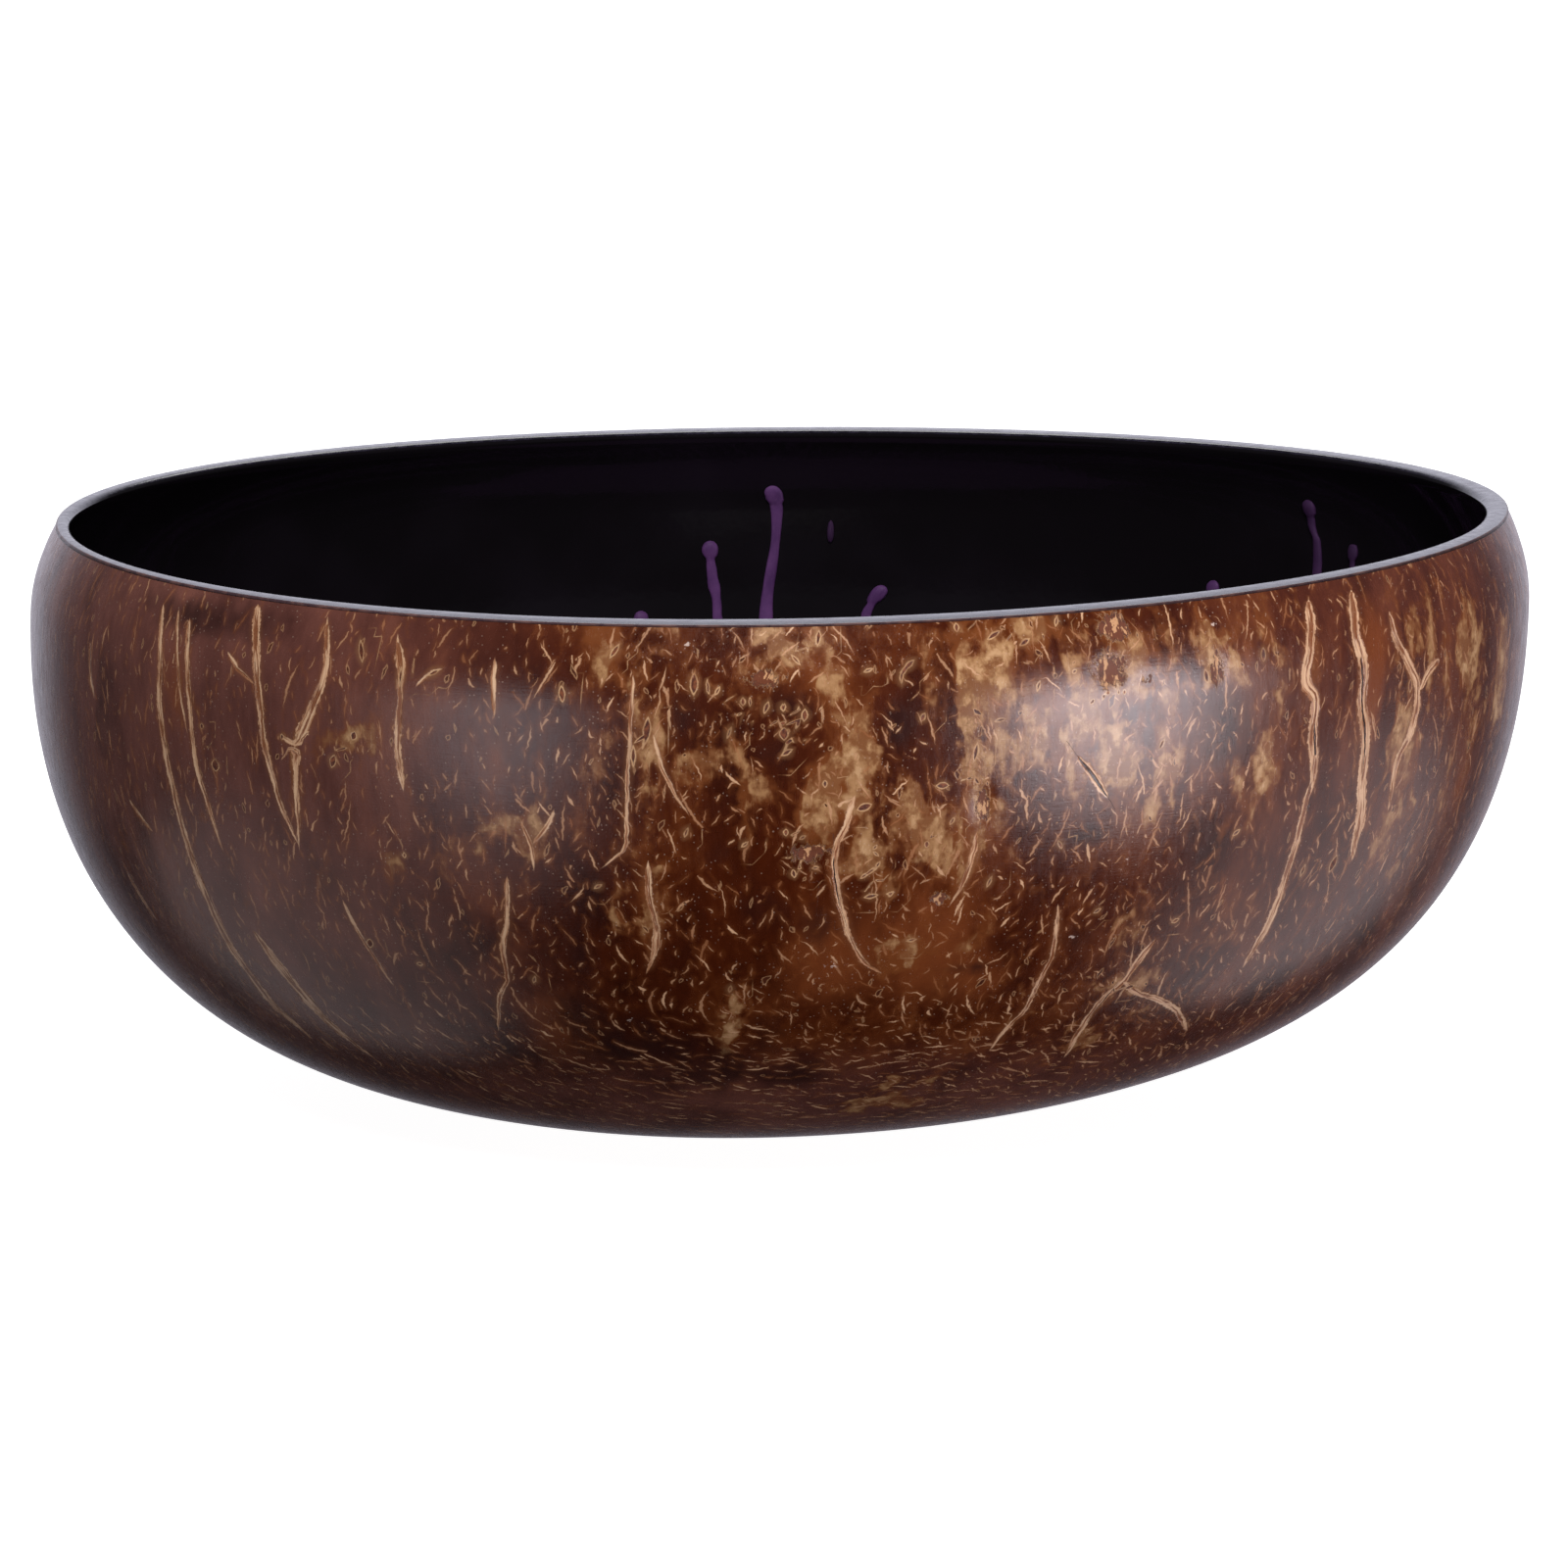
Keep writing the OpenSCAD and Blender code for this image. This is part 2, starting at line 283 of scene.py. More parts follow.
camera = bpy.data.objects.new("camera", bpy.data.cameras.new("camera"))
camera.location = Vector(eye * MM)
camera.rotation_mode = "QUATERNION"
camera.rotation_quaternion = Vector(ray_to(PIXELS / 2, PIXELS / 2)).to_track_quat("-Z", "Y")
camera.data.lens = FOCAL_PIXELS / PIXELS * camera.data.sensor_width
camera.data.clip_start = 0.01
camera.data.clip_end = 20
bpy.context.scene.collection.objects.link(camera)
bpy.context.scene.camera = camera


def point_data(mesh, name):
    """Places or normals of a mesh's points."""
    values = np.empty(len(mesh.vertices) * 3)
    mesh.vertices.foreach_get(name, values)
    return values.reshape(-1, 3)


# The outside of the shell as a surface to draw on: points, normals, directions and meridian lengths
shell_points = point_data(shell.data, "co") / MM
shell_normals = point_data(shell.data, "normal")
shell_count = len(shell_points)
shell_turns = np.arctan2(shell_points[:, 1], shell_points[:, 0] - shift_at(shell_points[:, 2]))
row_r, row_z = (np.array([np.ravel(value)[0] for value in column]) for column in zip(*shell_rows))
row_length = np.cumsum(np.hypot(np.diff(row_r, prepend=0), np.diff(row_z, prepend=0)))
shell_lengths = np.append(np.repeat(row_length, SEGMENTS), [0, row_length[-1]])

# From here on the rows are those of the outside. The middle of the base is the last point but one.
row_r, row_z, row_length = row_r[:outside_rows], row_z[:outside_rows], row_length[:outside_rows]
top_length = row_length[-1]
outside_count = outside_rows * SEGMENTS
outside = np.arange(shell_count) < outside_count
outside[-2] = True
outside_faces = [p.vertices[:] for p in shell.data.polygons if max(p.vertices) < outside_count]
surface = BVHTree.FromPolygons(shell_points.tolist(), outside_faces)


def on_shell(u, v):
    """Point and normal of the shell under a pixel of the photograph."""
    point, normal = map(np.array, surface.ray_cast(Vector(eye), Vector(ray_to(u, v)))[:2])
    return point, normal * (-1 if normal @ forward > 0 else 1)


def radius_at(length):
    """Radius of the outside at a meridian length from the middle of the base."""
    return float(np.interp(length, row_length, row_r))


def by_length(turn, length):
    """Point of the outside in a direction, at a meridian length."""
    return place(radius_at(length), np.interp(length, row_length, row_z), turn)


def length_of(z):
    """Meridian length at a height of the outside."""
    return float(np.interp(z, row_z, row_length))


def smooth_line(knots, step):
    """Points about step apart on a smooth curve through the knots."""
    knots = np.asarray(knots, float)
    if len(knots) == 2:
        knots = np.array([knots[0], knots.mean(axis=0), knots[1]])
    padded = np.concatenate([[2 * knots[0] - knots[1]], knots, [2 * knots[-1] - knots[-2]]])
    points = []
    for i in range(1, len(padded) - 2):
        p, q, r, s = padded[i - 1 : i + 3]
        pieces = max(2, int(np.linalg.norm(r[:3] - q[:3]) / step))
        t = np.linspace(0, 1, pieces, endpoint=False)[:, None]
        square = (2 * p - 5 * q + 4 * r - s) * t**2
        cube = (3 * q - p - 3 * r + s) * t**3
        points.append((2 * q + (r - p) * t + square + cube) / 2)
    points.append(knots[-1:])
    return np.concatenate(points)


# Strands: pale fibre bundles in the shell. Each has a width in pixels of the photograph and the pixels
# that it runs through, some with the share of that width there.
front_strands = [
    (5, [(166, 616, 0.6), (163, 670, 0.9), (162, 719, 1.1), (167, 761, 1.2), (179, 818, 1.4), (194, 872, 1.5),
         (212, 920, 1.5), (234, 965, 1.7), (255, 995, 1.8), (277, 1024, 1.8), (301, 1046, 1.6), (318, 1061)]),
    (4.5, [(193, 630), (190, 675), (193, 719), (199, 776), (214, 828), (226, 866)]),
    (2.5, [(182, 622), (180, 668), (184, 712), (190, 746)]),
    (7, [(263, 616, 1.3), (261, 681, 1.2), (265, 727), (268, 754), (281, 805, 0.8), (292, 837, 0.8),
         (304, 861, 0.6)]),
    (3.5, [(232, 665), (244, 684), (258, 697)]),
    (6, [(334, 630), (332, 678), (322, 712, 1.4), (311, 738, 2.0), (304, 760, 2.1), (301, 785, 0.9),
         (303, 830, 0.8), (305, 866, 0.6)]),
    (4, [(306, 760), (296, 757), (285, 751)]),
    (10, [(258, 950, 0.8), (277, 977), (300, 1006, 1.2), (332, 1041), (367, 1070, 0.8), (382, 1081, 0.6)]),
    (3.5, [(129, 890), (143, 915), (159, 939)]),
    (3, [(131, 815), (142, 832), (155, 848)]),
    (3, [(91, 655), (92, 690), (95, 712)]),
    (4, [(349, 918), (362, 946), (380, 975), (400, 1005)]),
    (3.5, [(423, 700), (436, 688), (450, 683)]),
    (8, [(406, 647, 0.5), (407, 672, 1.2), (408, 701, 0.8), (405, 762, 0.9), (408, 790, 1.4), (411, 806)]),
    (4, [(505, 671), (504, 731)]),
    (5, [(517, 894), (516, 937), (513, 970), (517, 998), (510, 1016), (508, 1051)]),
    (4, [(531, 838), (541, 863), (545, 889)]),
    (4, [(565, 825), (560, 840), (543, 862)]),
    (4, [(646, 690), (643, 752), (639, 817), (639, 843), (637, 866), (616, 885)]),
    (7, [(660, 879), (662, 912), (669, 945), (668, 970), (660, 993)]),
    (4, [(666, 751), (676, 784), (689, 810), (702, 830)]),
    (6, [(873, 812), (863, 843), (853, 866), (853, 899), (860, 930), (865, 953), (879, 978), (898, 993)]),
    (5, [(998, 848), (990, 884), (980, 907), (970, 924)]),
    (5, [(1080, 924), (1077, 958), (1073, 978), (1058, 1006), (1048, 1029), (1028, 1049), (1010, 1072)]),
    (7, [(1180, 958), (1158, 986), (1145, 1004), (1122, 1024), (1101, 1055), (1086, 1080)]),
    (6, [(1146, 1003), (1163, 1014), (1183, 1021), (1201, 1032), (1212, 1052)]),
    (11, [(1335, 612), (1339, 645), (1333, 693), (1343, 715), (1340, 751), (1342, 784), (1336, 815)]),
    (8, [(1337, 800), (1326, 850), (1316, 884), (1305, 917), (1294, 945), (1279, 970), (1269, 988)]),
    (11, [(1379, 601), (1384, 647), (1393, 681), (1391, 719), (1395, 751), (1391, 797), (1390, 830),
          (1384, 858), (1380, 879)]),
    (7, [(1418, 624), (1427, 655), (1445, 693), (1447, 715), (1440, 748), (1427, 776), (1422, 802),
         (1417, 828)]),
    (6, [(1470, 672), (1460, 684), (1449, 706)]),
]
# Cracks: dark lines that lie in a strand or stand alone
front_cracks = [
    (6, [(1343, 735), (1342, 770), (1340, 805)]),
    (5, [(1390, 668), (1391, 719), (1394, 751), (1391, 790)]),
    (8, [(1100, 771), (1115, 790), (1131, 815)]),
    (4, [(851, 870), (852, 899), (859, 928)]),
    (3, [(1140, 1006), (1124, 1024), (1108, 1046)]),
]
STRAND_WIDTH = 0.85

# Patches of each tone: pixel, half width and half height in pixels, and weight
front_patches = {
    "tan": [
        (850, 760, 150, 130, 0.2), (1140, 740, 140, 110, 0.32), (1240, 900, 150, 90, 0.22),
        (930, 930, 120, 80, 0.08), (1000, 1050, 230, 50, 0.12), (640, 780, 70, 120, 0.16),
        (1470, 740, 60, 140, 0.4), (1090, 640, 110, 30, 0.25), (500, 800, 70, 90, 0.15),
        (1250, 670, 44, 30, 0.5), (1285, 740, 30, 40, 0.4), (1272, 792, 34, 26, 0.5),
        (1178, 832, 30, 20, 0.5), (1230, 852, 24, 24, 0.5), (1338, 668, 9, 44, 0.9),
        (1512, 725, 12, 50, 0.6), (1440, 740, 20, 40, 0.5), (518, 843, 26, 14, 0.5),
        (461, 866, 34, 14, 0.35), (400, 880, 12, 14, 0.35), (1420, 850, 40, 50, 0.3),
        (612, 662, 22, 28, 0.55), (650, 700, 24, 70, 0.62), (655, 790, 16, 80, 0.55),
        (642, 936, 22, 28, 0.95), (668, 920, 14, 70, 0.4), (545, 858, 24, 26, 0.45),
        (359, 756, 24, 22, 0.9), (300, 770, 16, 50, 0.4), (790, 655, 46, 18, 0.6), (842, 662, 34, 22, 0.5),
        (770, 698, 36, 20, 0.45), (737, 762, 28, 26, 0.6), (700, 790, 20, 20, 0.45),
        (768, 802, 24, 16, 0.45), (832, 704, 26, 20, 0.35), (880, 745, 22, 36, 0.55),
        (890, 790, 36, 34, 0.75), (848, 806, 28, 22, 0.6), (928, 832, 32, 26, 0.65),
        (950, 862, 24, 28, 0.55), (822, 848, 22, 26, 0.5), (872, 882, 28, 22, 0.6), (905, 905, 18, 26, 0.4),
        (995, 715, 24, 80, 0.75), (1000, 820, 17, 74, 0.62), (975, 885, 20, 36, 0.5),
        (1042, 642, 26, 16, 0.65), (1030, 685, 20, 36, 0.55), (1085, 720, 28, 56, 0.5),
        (1100, 762, 60, 32, 0.65), (1150, 690, 36, 36, 0.4), (1140, 802, 36, 20, 0.4),
        (1190, 782, 28, 22, 0.5), (757, 1010, 12, 44, 0.95), (741, 1053, 13, 30, 0.9),
        (736, 1084, 12, 18, 0.8), (905, 1122, 40, 26, 1.0), (932, 1100, 26, 14, 0.8),
        (1152, 1004, 34, 18, 0.9), (930, 985, 70, 40, 0.4), (1105, 1060, 26, 30, 0.6),
        (1290, 800, 20, 56, 0.3), (1302, 690, 18, 36, 0.3), (1445, 680, 20, 46, 0.4),
        (1500, 650, 16, 60, 0.8), (1532, 700, 9, 70, 0.85), (1242, 700, 18, 36, 0.45),
    ],
    "dark": [
        (918, 742, 22, 32, 0.9), (818, 722, 26, 20, 0.8), (790, 770, 28, 20, 0.5), (702, 732, 24, 26, 0.6),
        (722, 872, 30, 30, 0.6), (805, 935, 60, 36, 0.6), (990, 988, 34, 12, 0.8), (1092, 958, 30, 20, 0.4),
        (600, 1060, 170, 60, 0.6), (780, 1100, 130, 40, 0.5), (450, 960, 90, 60, 0.4),
        (1062, 800, 18, 30, 0.5), (1112, 852, 34, 16, 0.9), (1255, 752, 40, 60, 0.6),
        (1215, 862, 50, 36, 0.5), (1010, 1105, 90, 30, 0.4), (562, 722, 36, 60, 0.25),
        (470, 740, 60, 90, 0.2), (1400, 955, 50, 50, 0.4), (1300, 1005, 60, 40, 0.5),
        (580, 962, 40, 50, 0.4), (1462, 760, 12, 70, 0.6), (95, 700, 36, 120, 0.3),
        (205, 622, 110, 22, 0.75),
    ],
    "red": [
        (930, 1000, 110, 60, 0.35), (177, 700, 18, 60, 0.5), (1402, 680, 18, 80, 0.9),
        (1492, 805, 10, 45, 0.6), (870, 950, 60, 60, 0.5), (960, 950, 40, 60, 0.4),
        (800, 1010, 80, 60, 0.3), (780, 690, 60, 40, 0.4), (330, 700, 20, 60, 0.3),
        (1000, 1000, 60, 40, 0.3),
    ],
}

# Eyes: pores that the sanding cut open, each a dark slot with a pale border. Pixel, half width and half
# length in pixels, and lean of the top to the right, in degrees.
front_eyes = [
    (835, 651, 2.9, 7.6, 8), (812, 673, 2.2, 6.8, -40), (758, 716, 2.9, 4.2, 0),
    (782, 722, 2.9, 6.8, 20), (800, 722, 2.2, 4.2, 10), (821, 730, 3.6, 6.8, 5), (708, 698, 4.3, 11, 0),
    (732, 705, 2.2, 5.1, 30), (800, 749, 5, 6.8, 0), (744, 748, 2.2, 6.8, 20), (803, 768, 2.9, 6.8, 60),
    (842, 800, 2.9, 4.2, 0), (962, 802, 3.6, 7.6, 90), (928, 678, 2.9, 6.8, 50), (920, 692, 2.2, 6, 0),
    (886, 684, 2.2, 5.1, 70), (942, 732, 2.9, 5.1, 30), (976, 640, 2.9, 4.2, 0),
    (1014, 648, 2.9, 7.6, 60), (1078, 634, 2.2, 5.1, 20), (1097, 685, 2.2, 3.4, 60),
    (1021, 735, 2.2, 6.8, 80), (996, 768, 2.9, 11, 10), (882, 824, 4.3, 8.5, 70),
    (972, 838, 2.2, 5.1, 30), (896, 883, 2.2, 5.1, 30), (946, 862, 2.9, 4.2, 0),
    (819, 855, 2.2, 4.2, 60), (810, 892, 2.9, 5.1, -10), (832, 886, 2.2, 4.2, 80),
    (882, 894, 2.2, 5.1, 50), (893, 865, 2.2, 3.4, 40), (889, 915, 2.9, 7.6, 80),
    (909, 913, 2.2, 5.1, 45), (802, 850, 2.9, 4.2, 0), (1131, 707, 2.2, 2.5, 0),
    (1148, 706, 1.8, 3.4, 0), (1161, 648, 1.8, 3.4, 0), (1122, 640, 1.8, 2.5, 0),
    (1115, 716, 2.2, 4.2, 50), (219, 781, 4.3, 6.8, 0), (287, 752, 2.2, 3.4, 0),
    (205, 741, 2.2, 3.4, 0), (377, 963, 3.6, 6, 20), (428, 984, 2.2, 4.2, 90), (360, 751, 3.6, 5.1, 20),
    (339, 777, 3.6, 7.6, 20), (368, 664, 2.9, 11, -20), (412, 873, 2.2, 3.4, 0),
    (442, 686, 2.2, 7.6, 60), (408, 690, 2.2, 10.2, 0), (660, 745, 4.3, 13.6, 5),
    (573, 708, 3.6, 8.5, -8), (646, 772, 2.9, 11.9, 0), (627, 664, 2.9, 7.6, 30),
    (1232, 690, 2.9, 7.6, -10), (1290, 668, 2.9, 7.6, 10), (1186, 760, 2.2, 6.8, 30),
    (1060, 700, 2.2, 6, 20), (1046, 655, 2.9, 6, 60), (1330, 889, 2.2, 7.6, 10),
    (1361, 882, 3.6, 10.2, 15), (1440, 700, 2.2, 7.6, 0), (1262, 850, 2.2, 6, 60),
    (1082, 862, 2.2, 6, -30), (760, 862, 2.2, 5.1, 50), (700, 850, 2.2, 6, 20), (930, 960, 2.2, 6, 80),
    (745, 1010, 2.2, 5.1, 10), (1010, 900, 2.2, 6.8, 20), (1153, 1008, 2.9, 6, 80),
    (545, 1000, 2.2, 5.1, 20), (610, 905, 2.2, 5.1, 60), (1200, 940, 2.2, 5.1, 70),
    (1120, 930, 2.2, 5.1, 60),
]

# Pits: pixel, half width, half height in pixels, and depth in millimetres
front_pits = [
    (826, 871, 19, 9, 0.35), (958, 918, 9, 7, 0.35), (1137, 644, 15, 12, 0.2), (1133, 687, 16, 15, 0.2),
    (1171, 697, 4, 5, 0.35), (1003, 822, 7, 18, 0.3), (780, 690, 16, 8, 0.25), (1243, 686, 6, 15, 0.2),
]

# Pale scuffs: pixel, half width and half height in pixels
front_scuffs = [
    (850, 985, 26, 6), (922, 1036, 9, 5), (940, 1042, 12, 5), (640, 1040, 9, 5), (1095, 957, 8, 5),
    (700, 655, 9, 5), (1150, 880, 8, 4), (480, 1000, 8, 4), (1240, 640, 8, 4),
]

# The front of the shell lies at this share of the camera's distance
FRONT_SHARE = 0.93
mm_per_pixel = FRONT_SHARE * CAMERA_DISTANCE / FOCAL_PIXELS
# Marks are drawn out where the shell slants away from the camera, as if it never slanted more than this
least_facing = 0.3
least_upright = 0.35


def mm_across(pixels, normal):
    """Length on the shell of a number of pixels across the picture."""
    facing = abs(normal[:2] @ forward[:2]) / max(np.linalg.norm(normal[:2]), 1e-6)
    return pixels * mm_per_pixel / max(facing, least_facing)


strands = []
for is_crack, lines in ((False, front_strands), (True, front_cracks)):
    for width, pixels in lines:
        knots = []
        for u, v, *share in pixels:
            point, normal = on_shell(u, v)
            half = STRAND_WIDTH * mm_across(width / 2, normal) * (share[0] if share else 1)
            knots.append([*point, half])
        strands.append((is_crack, knots))

# Strands of the same kind on the sides that the photograph doesn't show: one in three starts at the rim,
# and one in eleven is a crack
HIDDEN_STRANDS = 46
for i in range(HIDDEN_STRANDS):
    turn = math.radians(random.uniform(8, 172))
    start = random.uniform(0.45, 1.0) * top_length
    length = random.uniform(9, 42)
    if i % 3 == 0:
        start = top_length - 0.2
    half = random.uniform(0.13, 0.34)
    drift = random.normal(0, 0.03)
    sway = random.uniform(0.002, 0.012)
    phase = random.uniform(0, 6)
    knots = []
    for t in np.linspace(0, 1, 9):
        at = max(start - length * t, base_r + 6)
        bend = turn + drift * t + sway * math.sin(phase + 5 * t)
        knots.append([*by_length(bend, at), half * (0.7 + 0.6 * random.random())])
    strands.append((i % 11 == 0, knots))

# For each point of the shell: distance from a strand's middle line, the strand's half width there, and
# whether it is a crack. A strand that crosses another goes into the second layer.
REACH = 1.9
CROSSING_GAP = 1.2
START_TAPER = 1.5
END_TAPER = 4.0
LINE_STEP = 0.3
least_half = 0.05
layers = [np.tile(np.array([REACH, -1.0, 0.0]), (shell_count, 1)) for _ in range(2)]
taken = [np.zeros(shell_count, bool) for _ in range(2)]
for is_crack, knots in strands:
    line = smooth_line(knots, LINE_STEP)
    points, halves = line[:, :3], np.maximum(line[:, 3], least_half)
    tangents = np.gradient(points, axis=0)
    tangents /= np.linalg.norm(tangents, axis=1)[:, None]
    travelled = np.concatenate([[0], np.cumsum(np.linalg.norm(np.diff(points, axis=0), axis=1))])
    low, high = points.min(axis=0) - REACH, points.max(axis=0) + REACH
    near = np.nonzero(outside & np.all((shell_points > low) & (shell_points < high), axis=1))[0]
    squares = ((shell_points[near][:, None, :] - points[None, :, :]) ** 2).sum(axis=2)
    nearest = squares.argmin(axis=1)
    keep = np.sqrt(squares[np.arange(len(near)), nearest]) < REACH
    near, nearest = near[keep], nearest[keep]
    offset = shell_points[near] - points[nearest]
    along = (offset * tangents[nearest]).sum(axis=1)
    side = (offset * np.cross(shell_normals[near], tangents[nearest])).sum(axis=1)
    way = travelled[nearest] + along
    total = travelled[-1]
    taper = np.minimum(way / min(START_TAPER, total / 4), (total - way) / min(END_TAPER, total / 3))
    taper = np.clip(taper, -1, 1)
    taper = np.where(taper > 0, np.sqrt(np.maximum(taper, 0)), 3 * taper)
    crosses = np.any(taken[0][near] & (np.abs(layers[0][near, 0]) < CROSSING_GAP))
    layer, used = layers[int(crosses)], taken[int(crosses)]
    better = ~used[near] | (np.abs(side) < np.abs(layer[near, 0]))
    chosen = near[better]
    layer[chosen] = np.stack([side, halves[nearest] * taper, np.full_like(side, is_crack)], axis=1)[better]
    used[chosen] = True


def patch_frame(u, v, half_u, half_v):
    """Direction, meridian length, half sizes and radius on the shell of a patch given in pixels."""
    point, normal = on_shell(u, v)
    across = mm_across(half_u, normal)
    tilt = math.hypot(normal[0], normal[1]) * math.cos(CAMERA_TILT) - normal[2] * math.sin(CAMERA_TILT)
    tall = half_v * mm_per_pixel / max(abs(tilt), least_upright)
    turn = math.atan2(point[1], point[0] - shift_at(point[2]))
    return turn, length_of(point[2]), across, tall, math.hypot(point[0], point[1])


def spot(turn, length, across, tall, radius):
    """Square of the distance from a spot's middle, in its half sizes, for every point of the shell."""
    aside = np.angle(np.exp(1j * (shell_turns - turn))) * radius
    return (aside / across) ** 2 + ((shell_lengths - length) / tall) ** 2


def blot(squares, flatness=1.0):
    """Share of colour in a soft spot, by the squares of the distance from its middle."""
    return np.exp(-0.9 * squares**flatness)


FLAT_TOPPED = 1.3
HIDDEN_PATCHES = 150
kinds = ("tan", "dark", "red")
tone = np.zeros((shell_count, 3))
for kind, patches in front_patches.items():
    for *pixel_patch, weight in patches:
        tone[:, kinds.index(kind)] += weight * blot(spot(*patch_frame(*pixel_patch)), FLAT_TOPPED)
for i in range(HIDDEN_PATCHES):
    kind = ("tan", "tan", "tan", "dark", "dark", "red")[i % 6]
    turn = math.radians(random.uniform(2, 178))
    length = random.uniform(0.28, 1.0) * top_length
    across = random.uniform(1.2, 3.6)
    tall = across * random.uniform(0.9, 3.0)
    weight = random.uniform(0.35, 0.75)
    squares = spot(turn, length, across, tall, radius_at(length))
    tone[:, kinds.index(kind)] += weight * blot(squares, FLAT_TOPPED)
tone = np.clip(tone, 0, 1)

# Pits are cut into the mesh, and the material colours them by how near their middle is
HIDDEN_PITS = 14
least_pit = 0.45
pits = [(*patch_frame(*pixel_pit), depth) for *pixel_pit, depth in front_pits]
for i in range(HIDDEN_PITS):
    turn = math.radians(random.uniform(4, 176))
    length = random.uniform(0.45, 0.97) * top_length
    across, tall = random.uniform(0.4, 1.1), random.uniform(0.5, 1.4)
    pits.append((turn, length, across, tall, radius_at(length), random.uniform(0.25, 0.5)))
pit = np.zeros(shell_count)
depths = np.zeros(shell_count)
for turn, length, across, tall, radius, depth in pits:
    distance = np.sqrt(spot(turn, length, max(across, least_pit), max(tall, least_pit), radius))
    pit = np.maximum(pit, 1 - distance / 2)
    depths = np.maximum(depths, depth * np.clip(1.15 - distance, 0, 1) ** 0.7)
scuff = sum(blot(spot(*patch_frame(*pixel_scuff))) for pixel_scuff in front_scuffs)

# For each point of the shell near an eye: how far along it in half lengths, how far aside and its half
# width in millimetres
EYE_REACH = 1.6
EYE_DEPTH = 1.5
eyes = np.tile(np.array([0.0, 3.0, 0.0]), (shell_count, 1))
eye_gap = np.full(shell_count, EYE_REACH)
for *pixel_eye, lean in front_eyes:
    point, normal = on_shell(*pixel_eye[:2])
    wide, tall = patch_frame(*pixel_eye)[2:4]
    level = np.cross([0, 0, 1], normal)
    level /= np.linalg.norm(level)
    slope = math.radians(lean)
    lengthways = np.cross(normal, level) * math.cos(slope) + level * math.sin(slope)
    offset = shell_points - point
    along, side = offset @ lengthways, offset @ np.cross(normal, lengthways)
    gap = np.hypot(np.maximum(np.abs(along) - tall, 0), np.maximum(np.abs(side) - wide, 0))
    closer = outside & (gap < eye_gap) & (np.abs(offset @ normal) < EYE_DEPTH)
    eyes[closer] = np.stack([along / tall, side, np.full_like(side, wide)], axis=1)[closer]
    eye_gap[closer] = gap[closer]

# The hand-ground surface is a little uneven, always inside the nut's true form. The marks fade out
# towards the rim and the flat base.
WAVES = 14
WAVE_HEIGHT = 0.0042
RIM_FADE = 3
BASE_MARGIN = 1
BASE_FADE = 4
unevenness = np.zeros(shell_count)
for i in range(WAVES):
    wave = random.normal(0, 0.11, 3)
    unevenness += WAVE_HEIGHT * (1 + np.sin(shell_points @ wave + random.uniform(0, 6)))
rim_fade = np.clip((top_length - shell_lengths) / RIM_FADE, 0, 1)
base_fade = np.clip((shell_lengths - base_r - BASE_MARGIN) / BASE_FADE, 0, 1)
sunk = (depths + unevenness + inside_gap) * rim_fade * base_fade * outside
shell_points = shell_points - shell_normals * sunk[:, None]
shell.data.vertices.foreach_set("co", (shell_points * MM).ravel())
shell.data.update()


def store(obj, name, *columns):
    """Keeps three numbers for each point of the mesh, for the materials to read."""
    attribute = obj.data.attributes.new(name, "FLOAT_VECTOR", "POINT")
    attribute.data.foreach_set("vector", np.stack(columns, axis=1).ravel())


def hump(x, middle, width):
    """A smooth hump of height 1."""
    return np.exp(-(((x - middle) / width) ** 2))


def below(z, length):
    """A share that grows from 0 at a height of the outside to 1 at a length further down."""
    return np.clip((length_of(z) - shell_lengths) / length, 0, 1)


# How the flecks lie: their mean angle from the meridian, the spread of angles, and how crowded they are
ahead = np.angle(np.exp(1j * (shell_turns + math.pi / 2)))
behind = hump(np.abs(ahead), math.pi, 1.1)
middling = hump(ahead, 0.15, 0.6)
low_down = below(22, 10)
spread = 1.0 + 1.4 * middling * (1 - 0.7 * low_down) + 0.7 * hump(ahead, 1.0, 0.35) + 1.4 * behind
crowded = 0.62 + 0.45 * hump(ahead, 0.2, 0.75) + 0.3 * behind + 0.35 * low_down

# The sides and the underside are coloured a duller, cooler and lighter brown: partly the shell's own tone,
# partly painted sheen at the sides and painted fill light on the underside
aside = np.clip((np.abs(np.sin(ahead) - 0.07) - 0.25) / 0.5, 0, 1) * np.where(ahead > 0, 0.4, 1)
aside = np.maximum(aside, 0.9 * below(17, 14))

store(shell, "strand_a", *layers[0].T)
store(shell, "strand_b", *layers[1].T)
store(shell, "tone", *tone.T)
store(shell, "eye", *eyes.T)
store(shell, "lie", 1.45 * low_down * middling, spread, crowded)
# The third column of marks is the share of painted sheen and painted fill light at the sides and underside
store(shell, "marks", pit, scuff, aside * aside * (3 - 2 * aside))
store(shell, "grain", shell_points[:, 0], shell_points[:, 1], shell_lengths)


def ring_of(climb):
    """Ring of the CAD source at a climb up the lacquer, which is 1 at the widest ring."""
    return bowl_rings * climb if climb <= 1 else bowl_rings + crown_rings * (climb - 1)


def on_lacquer(ring, turn, lift):
    """Point over the lacquer: ring and turn (in degrees) as in the CAD source, lift in millimetres."""
    ring, turn, inset = max(ring, 0.0), math.radians(turn), coat_t + lift
    if ring <= bowl_rings:
        r, z = inner_low(math.pi / 2 * ring / bowl_rings, turn, inset)
    else:
        z = belly_h + (shoulder_h - belly_h) * (ring - bowl_rings) / crown_rings
        r = crown_r(z) - wall_at(turn) - inset
    return place(r, z, turn)


